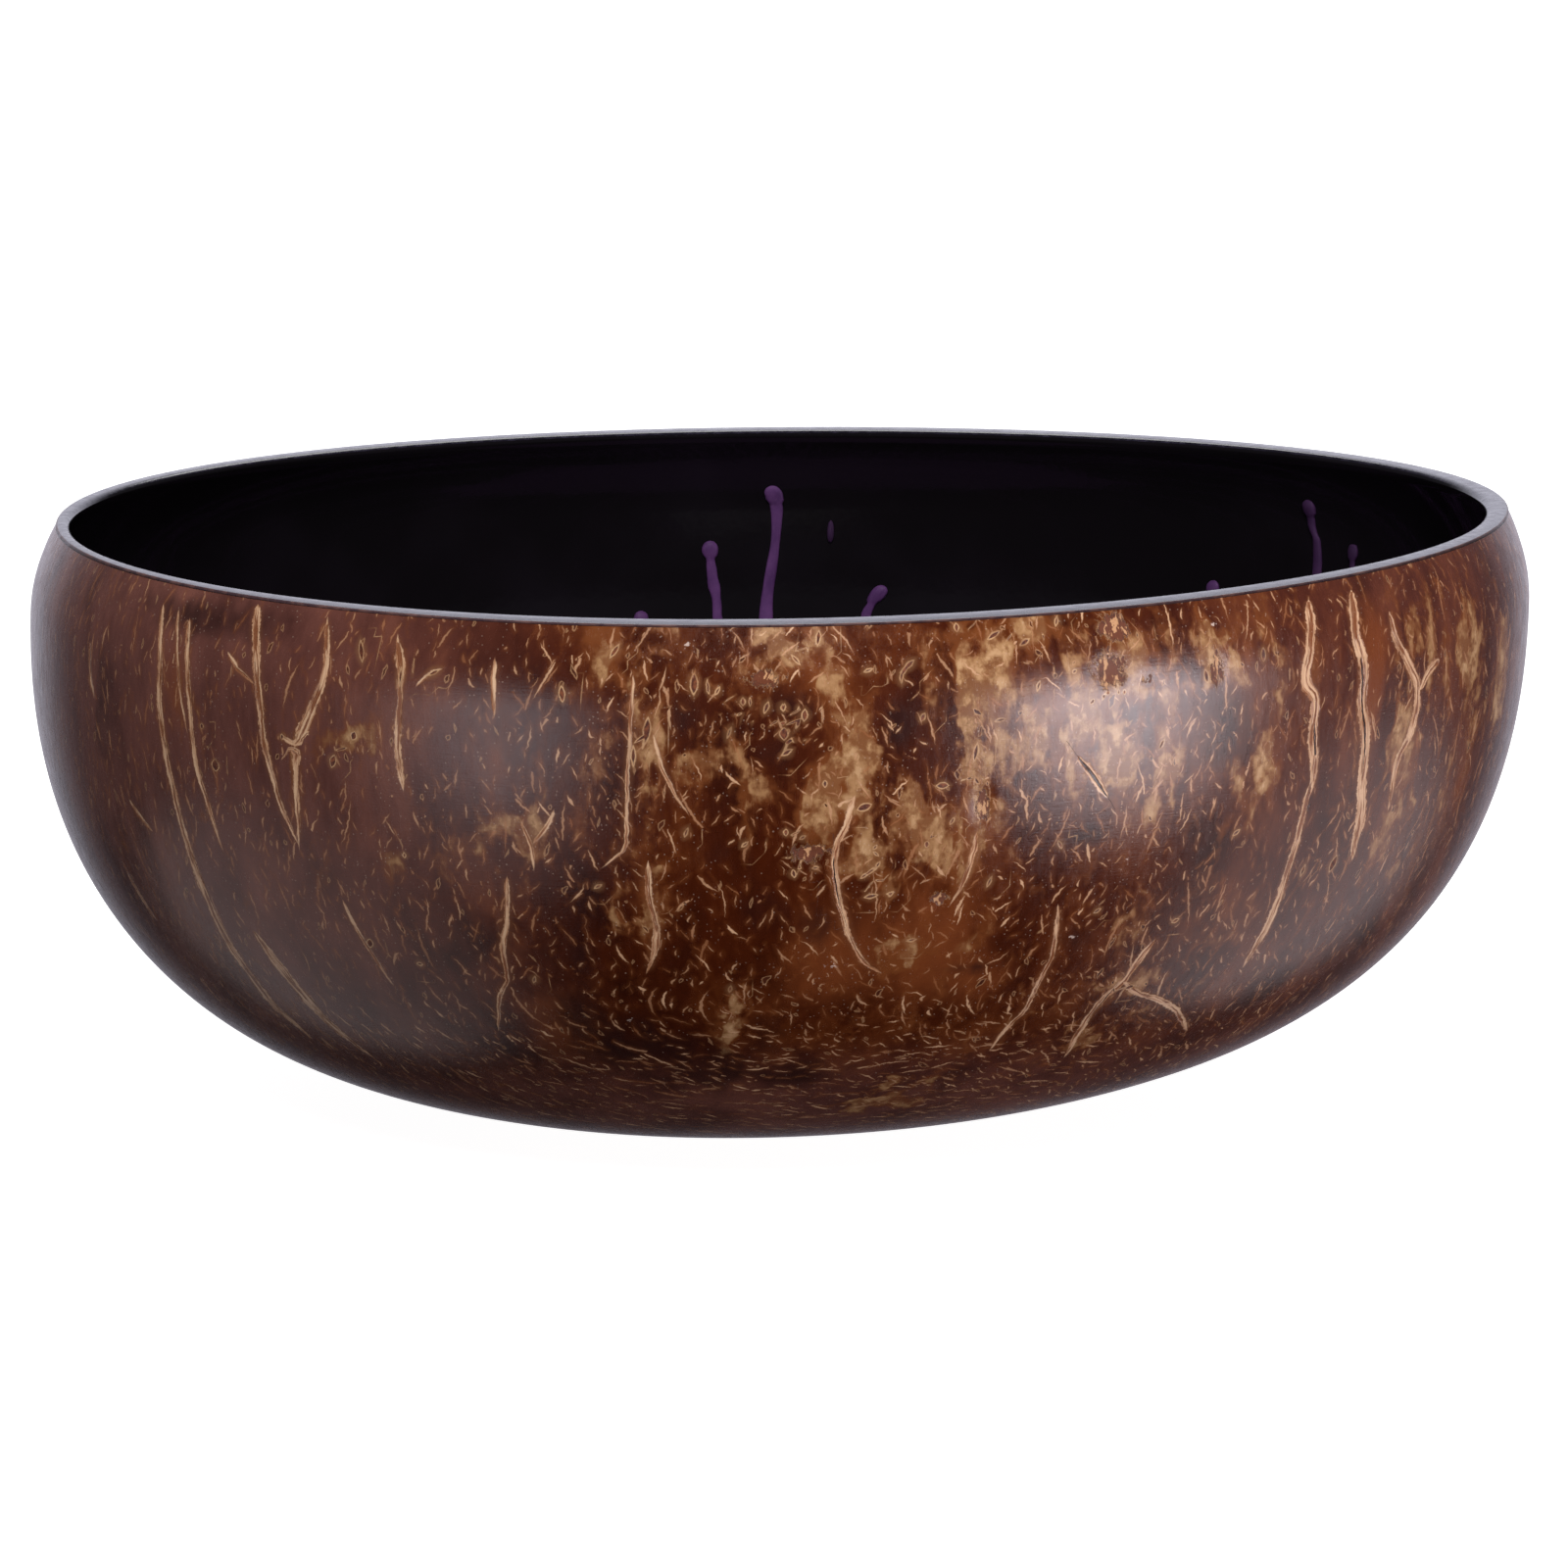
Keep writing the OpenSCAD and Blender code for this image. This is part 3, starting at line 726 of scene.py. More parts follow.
run_turns = [90.2, 95.6, 80.2, 101.7, 49.2, 39.3, 34.2, 118, 141, 163, 187, 214, 243, 268, 297, 322, 349, 8]
run_climb_shares = [1.354, 0.97, 0.911, 0.875, 0.94, 1.481, 1.007, 0.72, 0.88, 1.2, 0.8, 1.05, 0.7, 0.9,
                    1.3, 0.76, 0.97, 0.78]
run_width_shares = [1, 0.9, 0.95, 0.8, 0.8, 0.9, 0.75, 0.9, 1, 1.1, 0.8, 1, 0.9, 1, 1.15, 0.8, 1, 0.85]
run_strays = [0.5, -1.1, 1.4, 0.4, -0.3, -1, 0.2, 0.9, -1.2, 0.7, -0.8, 1.1, 0.5, -1, 1.2, -0.6, 0.8, -0.9]
drop_turns = [84.9, 60, 130, 175, 230, 280, 310, 16]
drop_climb_shares = [0.981, 0.66, 0.86, 0.6, 0.9, 0.8, 0.6, 0.9]
drop_width_shares = [0.5] + [1] * 7
# How the ends of the runs in sight bend: millimetres below the top, and degrees aside of it
seen_bends = {
    0: [(0, 0), (3.3, -0.5), (6.5, 0.3), (13, 0.5)],
    1: [(0, 0), (3.2, -0.15), (7, -0.8), (10, -1.1)],
    2: [(0, 0), (3, 1.1), (5, 1.4)],
    5: [(0, 0), (2.4, -0.1), (4.8, -1.05), (8, -1)],
}
# How far each run's and droplet's paint is darkened towards the lacquer's colour: 0 is none. On the runs this
# is painted shade, for those that lie deeper in the bowl's shade.
run_painted_shade_shares = [0, 0, 0, 0.2, 0.1, 0.55, 0.65] + [0] * 11
drop_darkening_shares = [0.75] + [0] * 7
pool_edge_share = 0.12
pool_wave_share = 0.008
tongue_share = 0.018
tongue_spread = 5
# The thinnest that paint gets, at the tip of a run
least_paint = 0.02

BEAD_SIDES = 10
RUN_STATIONS = 110
DROP_STATIONS = 15
POOL_SEGMENTS = 360


def pool_edge(turn):
    wave = math.sin(math.radians(5 * turn + 40)) + math.sin(math.radians(11 * turn))
    tongue = max(math.exp(-((((turn - t + 540) % 360 - 180) / tongue_spread) ** 2)) for t in run_turns)
    return ring_of(pool_edge_share + pool_wave_share * wave + tongue_share * tongue)


def rings_per_mm(ring, turn):
    return 1 / np.linalg.norm(on_lacquer(ring + 0.5, turn, 0) - on_lacquer(ring - 0.5, turn, 0))


def eased(x, knots):
    """Value at x of a curve that passes smoothly from knot to knot."""
    for (x0, y0), (x1, y1) in zip(knots, knots[1:]):
        if x < x1:
            t = (x - x0) / (x1 - x0)
            return y0 + (y1 - y0) * t * t * (3 - 2 * t)
    return knots[-1][1]


def run_stations(number):
    """Stations (ring, turn, half width, height) of a run, which crowd towards the round blob at its top."""
    turn, climb, share = run_turns[number], run_climb_shares[number], run_width_shares[number]
    start = pool_edge(turn) + ring_of(tongue_share) / 8
    top = ring_of(climb)
    half = run_w * share / 2
    bulb = bead_w * share / 2
    unit = rings_per_mm(top - 0.5, turn)
    stray = run_strays[number]
    knots = seen_bends.get(number, [(0, 0), (3, stray / 2), (6, stray)])
    stations = []
    for s in np.linspace(0, 1, RUN_STATIONS):
        ring = top - (top - start) * (1 - s) ** 1.7
        away = (top - ring) / unit
        bend = turn + eased(away, knots) + 0.1 * math.sin(0.9 * away + 40 * climb) * min(1, away / 3)
        trail = half * (0.92 + 0.13 * math.sin(1.3 * away + 9 * climb) + 0.06 * math.sin(3.1 * away))
        blob = math.sqrt(max(0.0, bulb**2 - (away - bulb) ** 2))
        below_bulb = min(1, max(0, away - bulb) / 0.5)
        width = (blob**3 + (trail * below_bulb) ** 3) ** (1 / 3)
        closing = math.sqrt(max(0.0, 1 - max(0.0, 1 - away / bulb) ** 2))
        height = paint_t * (0.7 + 0.3 * blob / bulb) * closing
        stations.append((ring, bend, max(width, least_paint), max(height, least_paint)))
    return stations


def drop_stations(number):
    """Stations of a droplet, a little longer below its middle than above."""
    turn, ring = drop_turns[number], ring_of(drop_climb_shares[number])
    step = drop_w / 2 * rings_per_mm(ring, turn)
    stations = []
    for s in np.linspace(-1.3, 1.1, DROP_STATIONS):
        swell = math.sqrt(max(0.002, 1 - ((s + 0.1) / 1.2) ** 2))
        half = drop_w / 2 * swell * drop_width_shares[number]
        stations.append((ring + s * step, turn, half, paint_t * swell))
    return stations


def splash(name, beads, darkening_shares):
    """One object of closed beads of paint through their stations."""
    points, faces = [], []
    for stations in beads:
        start = len(points)
        for ring, turn, half, height in stations:
            radius = np.hypot(*on_lacquer(ring, turn, 0)[:2])
            for k in range(BEAD_SIDES - 1):
                a = math.pi * k / (BEAD_SIDES - 2)
                aside = math.degrees(-math.cos(a) * half / radius)
                points.append(on_lacquer(ring, turn + aside, seat_gap + math.sin(a) ** 0.8 * height))
            points.append(on_lacquer(ring, turn, seat_gap))
        faces += faces_between(len(stations), BEAD_SIDES, start)
        faces.append(tuple(reversed(range(start, start + BEAD_SIDES))))
        faces.append(tuple(range(len(points) - BEAD_SIDES, len(points))))
    obj = mesh_object(name, points, faces)
    # Each bead's darkening towards the lacquer's colour, which on the runs deep in the bowl is painted shade
    darkening = np.repeat(darkening_shares, len(points) // len(beads))
    store(obj, "paint_darkening", darkening, 0 * darkening, 0 * darkening)
    return obj


runs = splash("splash_runs", [run_stations(i) for i in range(len(run_turns))], run_painted_shade_shares)
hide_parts("paint_runs")

droplets = splash("splash_droplets", [drop_stations(i) for i in range(len(drop_turns))], drop_darkening_shares)
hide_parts("paint_droplets")

# The pool: a thin disc with a rounded, wavy edge. Its rows are shares of its radius and of its height.
pool_rows = [(share, 1.0) for share in np.linspace(0.1, 0.9, 9)]
pool_rows += [(0.94, 0.96), (0.97, 0.84), (0.99, 0.6), (1.0, 0.3), (1.0, 0.0), (0.6, 0.0), (0.2, 0.0)]
pool_grid = []
for share, height in pool_rows:
    for turn in np.arange(POOL_SEGMENTS) * 360 / POOL_SEGMENTS:
        swell = 1 - 0.12 * (1 + math.sin(math.radians(3 * turn) + 9 * share)) * share * (height > 0.5)
        pool_grid.append(on_lacquer(share * pool_edge(turn), turn, seat_gap + height * swell * paint_t))
pool_grid = np.reshape(pool_grid, (len(pool_rows), POOL_SEGMENTS, 3))
middle_top, middle_bottom = on_lacquer(0, 0, seat_gap + paint_t), on_lacquer(0, 0, seat_gap)
pool = closed_form("splash_pool", pool_grid, middle_top, middle_bottom)
pool.data.flip_normals()
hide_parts("paint_pool")


class Value:
    """A number or a vector that a node gives, to write formulas with."""

    def __init__(self, nodes, socket):
        self.nodes = nodes
        self.socket = socket
        self.is_vector = socket.type != "VALUE"

    def __add__(self, other):
        return self.nodes.math("ADD", self, other)

    def __sub__(self, other):
        return self.nodes.math("SUBTRACT", self, other)

    def __rsub__(self, other):
        return self.nodes.math("SUBTRACT", other, self)

    def __mul__(self, other):
        return self.nodes.math("MULTIPLY", self, other)

    def __truediv__(self, other):
        return self.nodes.math("DIVIDE", self, other)

    def __abs__(self):
        return self.nodes.math("ABSOLUTE", self)


class Nodes:
    """Short ways to add nodes to a new material or world and join them."""

    def __init__(self, owner):
        owner.use_nodes = True
        self.owner = owner
        self.tree = owner.node_tree
        self.tree.nodes.clear()

    def put(self, socket, value):
        if isinstance(value, Value):
            self.tree.links.new(value.socket, socket)
        elif socket.type == "RGBA":
            socket.default_value = (*value, 1)
        elif socket.type == "VECTOR" and not isinstance(value, tuple):
            socket.default_value = (value, value, value)
        else:
            socket.default_value = value

    def add(self, kind, *values, settings=None, **inputs):
        """A new node with its settings, and its inputs in order or by name."""
        node = self.tree.nodes.new(kind)
        for key, value in (settings or {}).items():
            setattr(node, key, value)
        for socket, value in zip(node.inputs, values):
            self.put(socket, value)
        for key, value in inputs.items():
            self.put(node.inputs[key.replace("_", " ")], value)
        return node

    def take(self, kind, output, *values, settings=None, **inputs):
        """What one output of a new node gives."""
        return Value(self, self.add(kind, *values, settings=settings, **inputs).outputs[output])

    def math(self, operation, *values):
        """A sum of numbers, or of vectors if one of them is a vector."""
        is_vector = any(isinstance(value, tuple) or getattr(value, "is_vector", False) for value in values)
        kind = "ShaderNodeVectorMath" if is_vector else "ShaderNodeMath"
        output = "Value" if operation == "DOT_PRODUCT" else 0
        return self.take(kind, output, *values, settings={"operation": operation})

    def split(self, vector):
        return [Value(self, socket) for socket in self.add("ShaderNodeSeparateXYZ", vector).outputs]

    def attribute(self, name):
        return self.take("ShaderNodeAttribute", "Vector", settings={"attribute_name": name})

    def noise(self, vector, scale, detail=2.0, roughness=0.5, output="Fac"):
        inputs = {"Vector": vector, "Scale": scale, "Detail": detail, "Roughness": roughness}
        return self.take("ShaderNodeTexNoise", output, **inputs)

    def range(self, value, low, high, to_low=0.0, to_high=1.0, smooth=True):
        settings = {"interpolation_type": "SMOOTHSTEP" if smooth else "LINEAR"}
        return self.take("ShaderNodeMapRange", 0, value, low, high, to_low, to_high, settings=settings)

    def mix(self, share, a, b):
        node = self.add("ShaderNodeMix", share, settings={"data_type": "RGBA"})
        self.put(node.inputs[6], a)
        self.put(node.inputs[7], b)
        return Value(self, node.outputs[2])

    def ramp(self, value, *stops):
        node = self.add("ShaderNodeValToRGB", value)
        elements = node.color_ramp.elements
        while len(elements) < len(stops):
            elements.new(0.5)
        for element, (position, colour) in zip(elements, stops):
            element.position = position
            element.color = (*colour, 1)
        return Value(self, node.outputs[0])

    def bump(self, height, strength, distance):
        return self.take("ShaderNodeBump", 0, Strength=strength, Distance=distance, Height=height)

    def object_mm(self):
        """Object coordinates in millimetres."""
        return self.take("ShaderNodeTexCoord", "Object") * 1000.0

    def finish(self, **inputs):
        """The finished material, with one shader."""
        self.add("ShaderNodeOutputMaterial", self.take("ShaderNodeBsdfPrincipled", 0, **inputs))
        return self.owner


class ShellNodes(Nodes):
    """Nodes of the shell's material. Its layers share these noises, and each paints over the colour so
    far and sinks into the relief."""

    def __init__(self):
        super().__init__(bpy.data.materials.new("polished_shell"))
        self.spot_mm = self.object_mm()
        self.grain_mm = self.attribute("grain")
        self.streak = self.grain_mm * (1, 1, 0.42)
        self.bent = self.spot_mm + (self.noise(self.spot_mm, 1.7, 3.0, output="Color") - 0.5) * 0.45
        self.webbed = self.streak + (self.noise(self.spot_mm, 0.25, 1.5, output="Color") - 0.5) * 4.0
        self.middle = self.noise(self.streak, 0.16, 4.0, 0.6)
        self.fine = self.noise(self.grain_mm * (1, 1, 0.3), 1.6, 3.0, 0.65)
        self.grit = self.noise(self.bent, 0.55, 3.0, 0.6)
        self.ragged = self.noise(self.spot_mm, 2.1, 3.0, 0.7) - 0.5
        self.tan, self.dark, self.red = self.split(self.attribute("tone"))
        self.pitted, self.scuffed, self.sheen_and_fill_share = self.split(self.attribute("marks"))
        self.lie = self.split(self.attribute("lie"))
        normal = self.take("ShaderNodeNewGeometry", "Normal")
        across = self.math("NORMALIZE", self.math("CROSS_PRODUCT", (0, 0, 1), normal))
        self.axes = (across, self.math("CROSS_PRODUCT", normal, across), normal)
        self.relief = self.fine * 0.12

    def paint(self, share, colour):
        self.colour = self.mix(share, self.colour, colour)

    def sink(self, depth):
        self.relief = self.relief - depth


def flecks(n, cell, half_length, half_width, keep, spread_share, bend, offset):
    """Short curved flecks, one to a cell: how far inside a fleck each place is in millimetres, which of
    them are kept, and a chance for each."""
    mean_angle, spread, crowded = n.lie
    shifted = n.bent + offset
    cells = n.add("ShaderNodeTexVoronoi", Vector=shifted, Scale=1 / cell)
    centre = Value(n, cells.outputs["Position"])
    one, two, three = n.split(Value(n, cells.outputs["Color"]))
    away = shifted - centre
    x, y, depth = (n.math("DOT_PRODUCT", away, axis) for axis in n.axes)
    angle = (one - 0.5) * spread_share * spread + mean_angle
    cosine, sine = n.math("COSINE", angle), n.math("SINE", angle)
    length = two * half_length + half_length * 0.45
    share = (y * cosine - x * sine) / length
    square = share * share
    curve = (three - 0.5) * bend * (square * length)
    width = (1.0 - square) * (three * half_width + half_width * 0.5)
    inside = width - abs(x * cosine + y * sine - curve)
    chance = n.take("ShaderNodeTexWhiteNoise", "Value", centre, settings={"noise_dimensions": "3D"})
    kept = n.math("LESS_THAN", chance, crowded * keep) * n.math("LESS_THAN", abs(depth), cell * 0.42)
    return inside, kept, chance


def lay_ground(n):
    """The brown ground of the polished shell, cooler and lighter at the sides and underneath, which is partly
    painted sheen and painted fill light, and redder in places.
    """
    level = (n.middle - 0.5) * 1.3 + (n.fine * 0.18 + 0.41)
    dark_brown, brown, light_brown = (0.02, 0.0028, 0.0008), (0.044, 0.0072, 0.0014), (0.1, 0.0235, 0.005)
    warm = n.ramp(level, (0.2, dark_brown), (0.5, brown), (0.8, light_brown))
    cool_brown_with_sheen_and_fill = n.ramp(level, (0.25, (0.084, 0.029, 0.0225)), (0.75, (0.17, 0.066, 0.051)))
    # Painted sheen and painted fill light: towards the sides and underside the ground mixes into a lighter,
    # cooler brown
    n.colour = n.mix(n.sheen_and_fill_share * 0.75, warm, cool_brown_with_sheen_and_fill)
    n.paint(n.range(n.red + (n.middle - 0.5), 0.15, 0.85) * 0.75, (0.15, 0.038, 0.0105))


def lay_clouds(n):
    """Soft tan clouds, in a loose web round darker islands, with amber borders."""
    amber, murky = (0.14, 0.04, 0.0105), (0.017, 0.005, 0.0042)
    tan, pale_tan = (0.285, 0.15, 0.066), (0.43, 0.26, 0.135)
    web = n.noise(n.webbed, 0.27, 1.5, 0.5)
    cloud = n.noise(n.webbed + (40, 7, 3), 0.34, 3.0, 0.5)
    smear = n.noise(n.grain_mm * (1, 1, 0.22), 0.55, 2.0, 0.5)
    ridge = n.math("MAXIMUM", 1.0 - abs(web - 0.5) * 6.0, -0.5)
    level = ridge * 0.5 + n.math("MINIMUM", n.tan, 0.88)
    level = (cloud - 0.5) * (n.tan * 2.3 + 1.1) + level
    level = (smear - 0.5) * 1.1 + level
    level = (n.fine - 0.5) * 0.35 + level
    level = (n.grit - 0.5) * (n.tan + 0.8) + level
    level = level - (n.dark * 0.8 + 0.06)
    n.paint(n.range(level, 0.4, 1.0) * 0.7, amber)
    mottle = n.noise(n.bent * (1, 1, 0.8) + (11, 4, 67), 0.62, 4.0, 0.6)
    islands = n.noise(n.webbed + (70, 21, 9), 0.42, 2.0, 0.5)
    level = level - n.range(islands, 0.5, 0.66) * 0.5
    n.paint(n.range(level, 0.66, 1.1) * n.range(mottle, 0.42, 0.57, 0.24, 0.95), tan)
    n.paint(n.range(level, 1.0, 1.5) * n.range(mottle, 0.5, 0.62, 0, 0.7), pale_tan)
    murk = (n.noise(n.webbed, 0.2, 2.0) - 0.5) * 1.7 + n.dark
    n.paint(n.range(murk, 0.25, 0.95) * 0.8, murky)


def lay_flecks(n):
    """Flecks of three sizes: cell, half sizes, share kept, spread, bend, offset and strength."""
    crowd = n.noise(n.bent, 0.13, 2.0)
    for cell, half_length, half_width, keep, spread_share, bend, offset, strength in (
        (1.3, 0.42, 0.055, 0.72, 1.0, 0.4, (0, 0, 0), 0.8),
        (2.3, 0.8, 0.075, 0.7, 0.9, 0.35, (31, 5, 12), 0.95),
        (4.4, 1.5, 0.09, 0.5, 0.6, 0.3, (7, 63, 41), 0.9),
    ):
        inside, kept, chance = flecks(n, cell, half_length, half_width, keep, spread_share, bend, offset)
        luck = chance / keep
        mark = n.range(inside, -0.06, 0.04) * kept * n.range(luck, 0.0, 1.0, 0.5, 1.0, smooth=False)
        n.paint(n.range(inside, -0.5, 0.05) * kept * 0.2, (0.16, 0.046, 0.012))
        pale = n.mix(luck, (0.27, 0.1, 0.038), (0.52, 0.31, 0.18))
        n.paint(mark * n.range(crowd, 0.34, 0.6, strength * 0.7, strength), pale)


def lay_pores(n):
    """Small pores of two sizes with a pale ring and a dark middle."""
    for cell, half_length, half_width, keep, offset in (
        (2.6, 0.4, 0.15, 0.34, (3, 77, 19)),
        (4.8, 0.55, 0.2, 0.25, (59, 13, 88)),
    ):
        inside, kept, chance = flecks(n, cell, half_length, half_width, keep, 0.8, 0.5, offset)
        core = n.range(inside, 0.07, 0.13) * kept
        n.paint(n.range(inside, -0.06, 0.03) * kept * 0.45, (0.4, 0.22, 0.11))
        n.paint(core, n.mix(chance, (0.045, 0.011, 0.005), (0.12, 0.033, 0.012)))
        n.sink(core * 0.05)


def lay_strands(n):
    """Long strands: bundles of pale fibres with red-brown lines between them, and cracks."""
    wiggle = n.noise(n.spot_mm + (0, 90, 0), 0.5, 2.0) - 0.5
    patchy = n.noise(n.streak + (5, 5, 5), 0.5, 3.0)
    down = n.split(n.grain_mm)[2]
    for name in ("strand_a", "strand_b"):
        side, half, cracked = n.split(n.attribute(name))
        side = wiggle * 0.5 + side
        half = half * (patchy * 1.1 + 0.5)
        inside = half - abs(side)
        body = n.range(n.ragged * (half * 1.3 + 0.05) + inside, -0.08, 0.06)
        share = n.ragged * 0.5 + abs(side) / n.math("MAXIMUM", half, 0.04)
        # Fibres run along the strand, so their noise is stretched down the meridian
        lane = n.take("ShaderNodeCombineXYZ", 0, side * 4.5, half * 2.0, down * 0.33)
        fibres = n.noise(lane, 1.0, 2.0, 0.6)
        core = n.range(share, 0.75, 0.25) * n.range(half, 0.08, 0.22)
        gap_level = core * n.range(patchy, 0.35, 0.6, 0.3, 0.05) + (1.0 - fibres)
        gap = n.range(gap_level, 0.55, 0.7) * n.range(half, 0.06, 0.16)
        crack = n.range(share, 0.5, 0.25) * cracked
        n.paint(n.range(inside, -0.6, 0.0) * n.range(half, 0.0, 0.15) * 0.35, (0.15, 0.055, 0.022))
        pale = n.mix(n.range(fibres, 0.35, 0.65), (0.33, 0.15, 0.07), (0.57, 0.36, 0.22))
        n.paint(body * n.range(patchy, 0.3, 0.6, 0.75, 0.95), pale)
        n.paint(gap * body * 0.85, (0.14, 0.04, 0.014))
        n.paint(crack, (0.03, 0.008, 0.004))
        n.sink(body * (gap * 0.4 + 0.12))
        n.sink(crack)


def lay_eyes(n):
    """Eyes placed one by one. Returns where their dark cores are."""
    along, side, half = n.split(n.attribute("eye"))
    inside = n.ragged * 0.2 + (half * (1.0 - along * along) - abs(side))
    core = n.range(inside, 0.1, 0.15)
    n.paint(n.range(inside, -0.6, 0.0) * 0.35, (0.2, 0.09, 0.038))
    n.paint(n.range(inside, -0.05, 0.05) * n.range(n.grit, 0.35, 0.6, 0.35, 0.85), (0.42, 0.25, 0.13))
    n.paint(core, n.mix(n.range(n.ragged, -0.1, 0.2), (0.05, 0.012, 0.006), (0.17, 0.05, 0.018)))
    n.sink(core * 0.08)
    return core


def lay_pits(n):
    """Pits with ragged edges and splinters in them. Returns where they are."""
    level = (n.noise(n.bent * (1, 1, 0.5), 1.3, 4.0, 0.8) - 0.5) * 1.7 + n.pitted
    hollow = n.range(level, 0.47, 0.53)
    splinter = n.range(n.noise(n.bent * (1.3, 1.3, 0.3), 2.0, 2.0), 0.54, 0.6)
    n.paint(n.range(level, 0.38, 0.5) * 0.3, (0.42, 0.24, 0.11))
    n.paint(hollow, n.mix(splinter, (0.1, 0.026, 0.009), (0.4, 0.21, 0.1)))
    n.paint(hollow * n.range(level, 0.65, 0.53) * 0.8, (0.035, 0.009, 0.005))
    n.sink(hollow * 0.15)
    return hollow


def lay_wear(n):
    """Pale specks of two sizes, scuffs and fine sanding marks. Returns the sanding marks."""
    patchy = n.noise(n.streak, 0.09, 2.0)
    for cell, low, high, size, offset in (
        (0.8, 0.86, 0.88, 0.11, (0, 0, 0)),
        (0.36, 0.62, 0.95, 0.09, (9, 2, 5)),
    ):
        speck = n.add("ShaderNodeTexVoronoi", Vector=n.spot_mm + offset, Scale=1 / cell)
        chance = n.split(Value(n, speck.outputs["Color"]))[0]
        near = n.range(Value(n, speck.outputs["Distance"]), size / cell, size / cell * 0.4)
        picked = n.math("GREATER_THAN", chance, n.range(patchy, 0.42, 0.62, high, low))
        n.paint(near * picked * 0.32, (0.42, 0.3, 0.23))
    scuffs = n.noise(n.spot_mm, 1.9, 2.0, 0.6) * 1.6 + n.math("MINIMUM", n.scuffed, 1.0)
    n.paint(n.range(scuffs, 1.55, 1.75) * 0.6, (0.6, 0.47, 0.4))
    sanding = n.noise(n.grain_mm * (0.5, 0.5, 7), 1.0, 2.0, 0.7)
    n.paint(n.range(sanding, 0.6, 0.85, 0.0, 0.3), (0.02, 0.006, 0.0035))
    return sanding


def shell_material():
    n = ShellNodes()
    lay_ground(n)
    lay_clouds(n)
    lay_flecks(n)
    lay_pores(n)
    lay_strands(n)
    cores = lay_eyes(n)
    hollows = lay_pits(n)
    sanding = lay_wear(n)
    rough = n.math("MAXIMUM", hollows, cores) * 0.35 + n.range(n.fine, 0.2, 0.8, 0.19, 0.3)
    height = sanding * 0.12 + (n.noise(n.spot_mm, 5.0, 3.0, 0.7) * 0.12 + n.relief)
    bumps = n.bump(height, 0.5, 0.00016)
    return n.finish(Base_Color=n.colour, Roughness=rough, Specular_IOR_Level=0.5, Normal=bumps)


def lacquer_material():
    n = Nodes(bpy.data.materials.new("black_gloss_lacquer"))
    spot_mm = n.object_mm()
    mottle = n.noise(spot_mm, 0.06, 3.0)
    dust = n.noise(spot_mm, 1.4, 3.0, 0.6)
    colour = n.mix(n.range(mottle, 0.4, 0.7), (0.0042, 0.0033, 0.0042), (0.0058, 0.0044, 0.0062))
    rough = n.range(dust, 0.3, 0.75, 0.07, 0.15)
    peel = n.noise(spot_mm, 0.35, 2.0) + dust * 0.12
    return n.finish(Base_Color=colour, Roughness=rough, IOR=1.38, Normal=n.bump(peel, 0.12, 0.0002))


def rim_material():
    n = Nodes(bpy.data.materials.new("rubbed_lacquer_rim"))
    wear = n.noise(n.object_mm(), 0.9, 4.0, 0.6)
    colour = n.mix(n.range(wear, 0.35, 0.75), (0.006, 0.005, 0.009), (0.022, 0.018, 0.033))
    rough = n.range(wear, 0.3, 0.7, 0.14, 0.26)
    return n.finish(Base_Color=colour, Roughness=rough, IOR=1.52, Normal=n.bump(wear, 0.3, 0.0001))


def edge_material():
    n = Nodes(bpy.data.materials.new("rubbed_outer_edge"))
    wear = n.noise(n.object_mm(), 0.7, 4.0, 0.6)
    colour = n.mix(n.range(wear, 0.4, 0.65), (0.055, 0.03, 0.036), (0.12, 0.06, 0.055))
    rough = n.range(wear, 0.3, 0.7, 0.25, 0.4)
    return n.finish(Base_Color=colour, Roughness=rough, Normal=n.bump(wear, 0.3, 0.0001))


def paint_material():
    n = Nodes(bpy.data.materials.new("purple_paint"))
    spot_mm = n.object_mm()
    flow = n.noise(spot_mm, 0.5, 3.0)
    fine = n.noise(spot_mm, 4.0, 3.0, 0.6)
    colour = n.mix(n.range(flow, 0.3, 0.7), (0.05, 0.018, 0.07), (0.085, 0.032, 0.11))
    colour = n.mix(n.range(fine, 0.55, 0.8, 0.0, 0.3), colour, (0.14, 0.075, 0.17))
    # Darkening towards the lacquer's colour, which on the runs deep in the bowl is painted shade
    colour = n.mix(n.split(n.attribute("paint_darkening"))[0], colour, (0.012, 0.006, 0.014))
    rough = n.range(fine, 0.3, 0.7, 0.38, 0.52)
    return n.finish(Base_Color=colour, Roughness=rough, Normal=n.bump(fine, 0.2, 0.0001))


shell.data.materials.append(shell_material())
for material in (lacquer_material(), rim_material(), edge_material()):
    lacquer.data.materials.append(material)
for face in lacquer.data.polygons:
    row = face.index // SEGMENTS
    if rim_start < row < edge_start:
        face.material_index = 1
    elif edge_start <= row <= edge_end:
        face.material_index = 2
paint = paint_material()
for obj in (runs, droplets, pool):
    obj.data.materials.append(paint)

# A plain pale floor
floor = bpy.data.objects.new("floor", bpy.data.meshes.new("floor"))
reach = 6.0
corners = [(-reach, -reach, 0), (reach, -reach, 0), (reach, reach, 0), (-reach, reach, 0)]
floor.data.from_pydata(corners, [], [(0, 1, 2, 3)])
bpy.context.scene.collection.objects.link(floor)
pale = Nodes(bpy.data.materials.new("pale_floor"))
pale.finish(Base_Color=(0.6, 0.6, 0.6), Roughness=0.9, Emission_Color=(1, 1, 1), Emission_Strength=0.97)
floor.data.materials.append(pale.owner)
floor.visible_diffuse = False
floor.visible_glossy = False
floor.visible_shadow = False

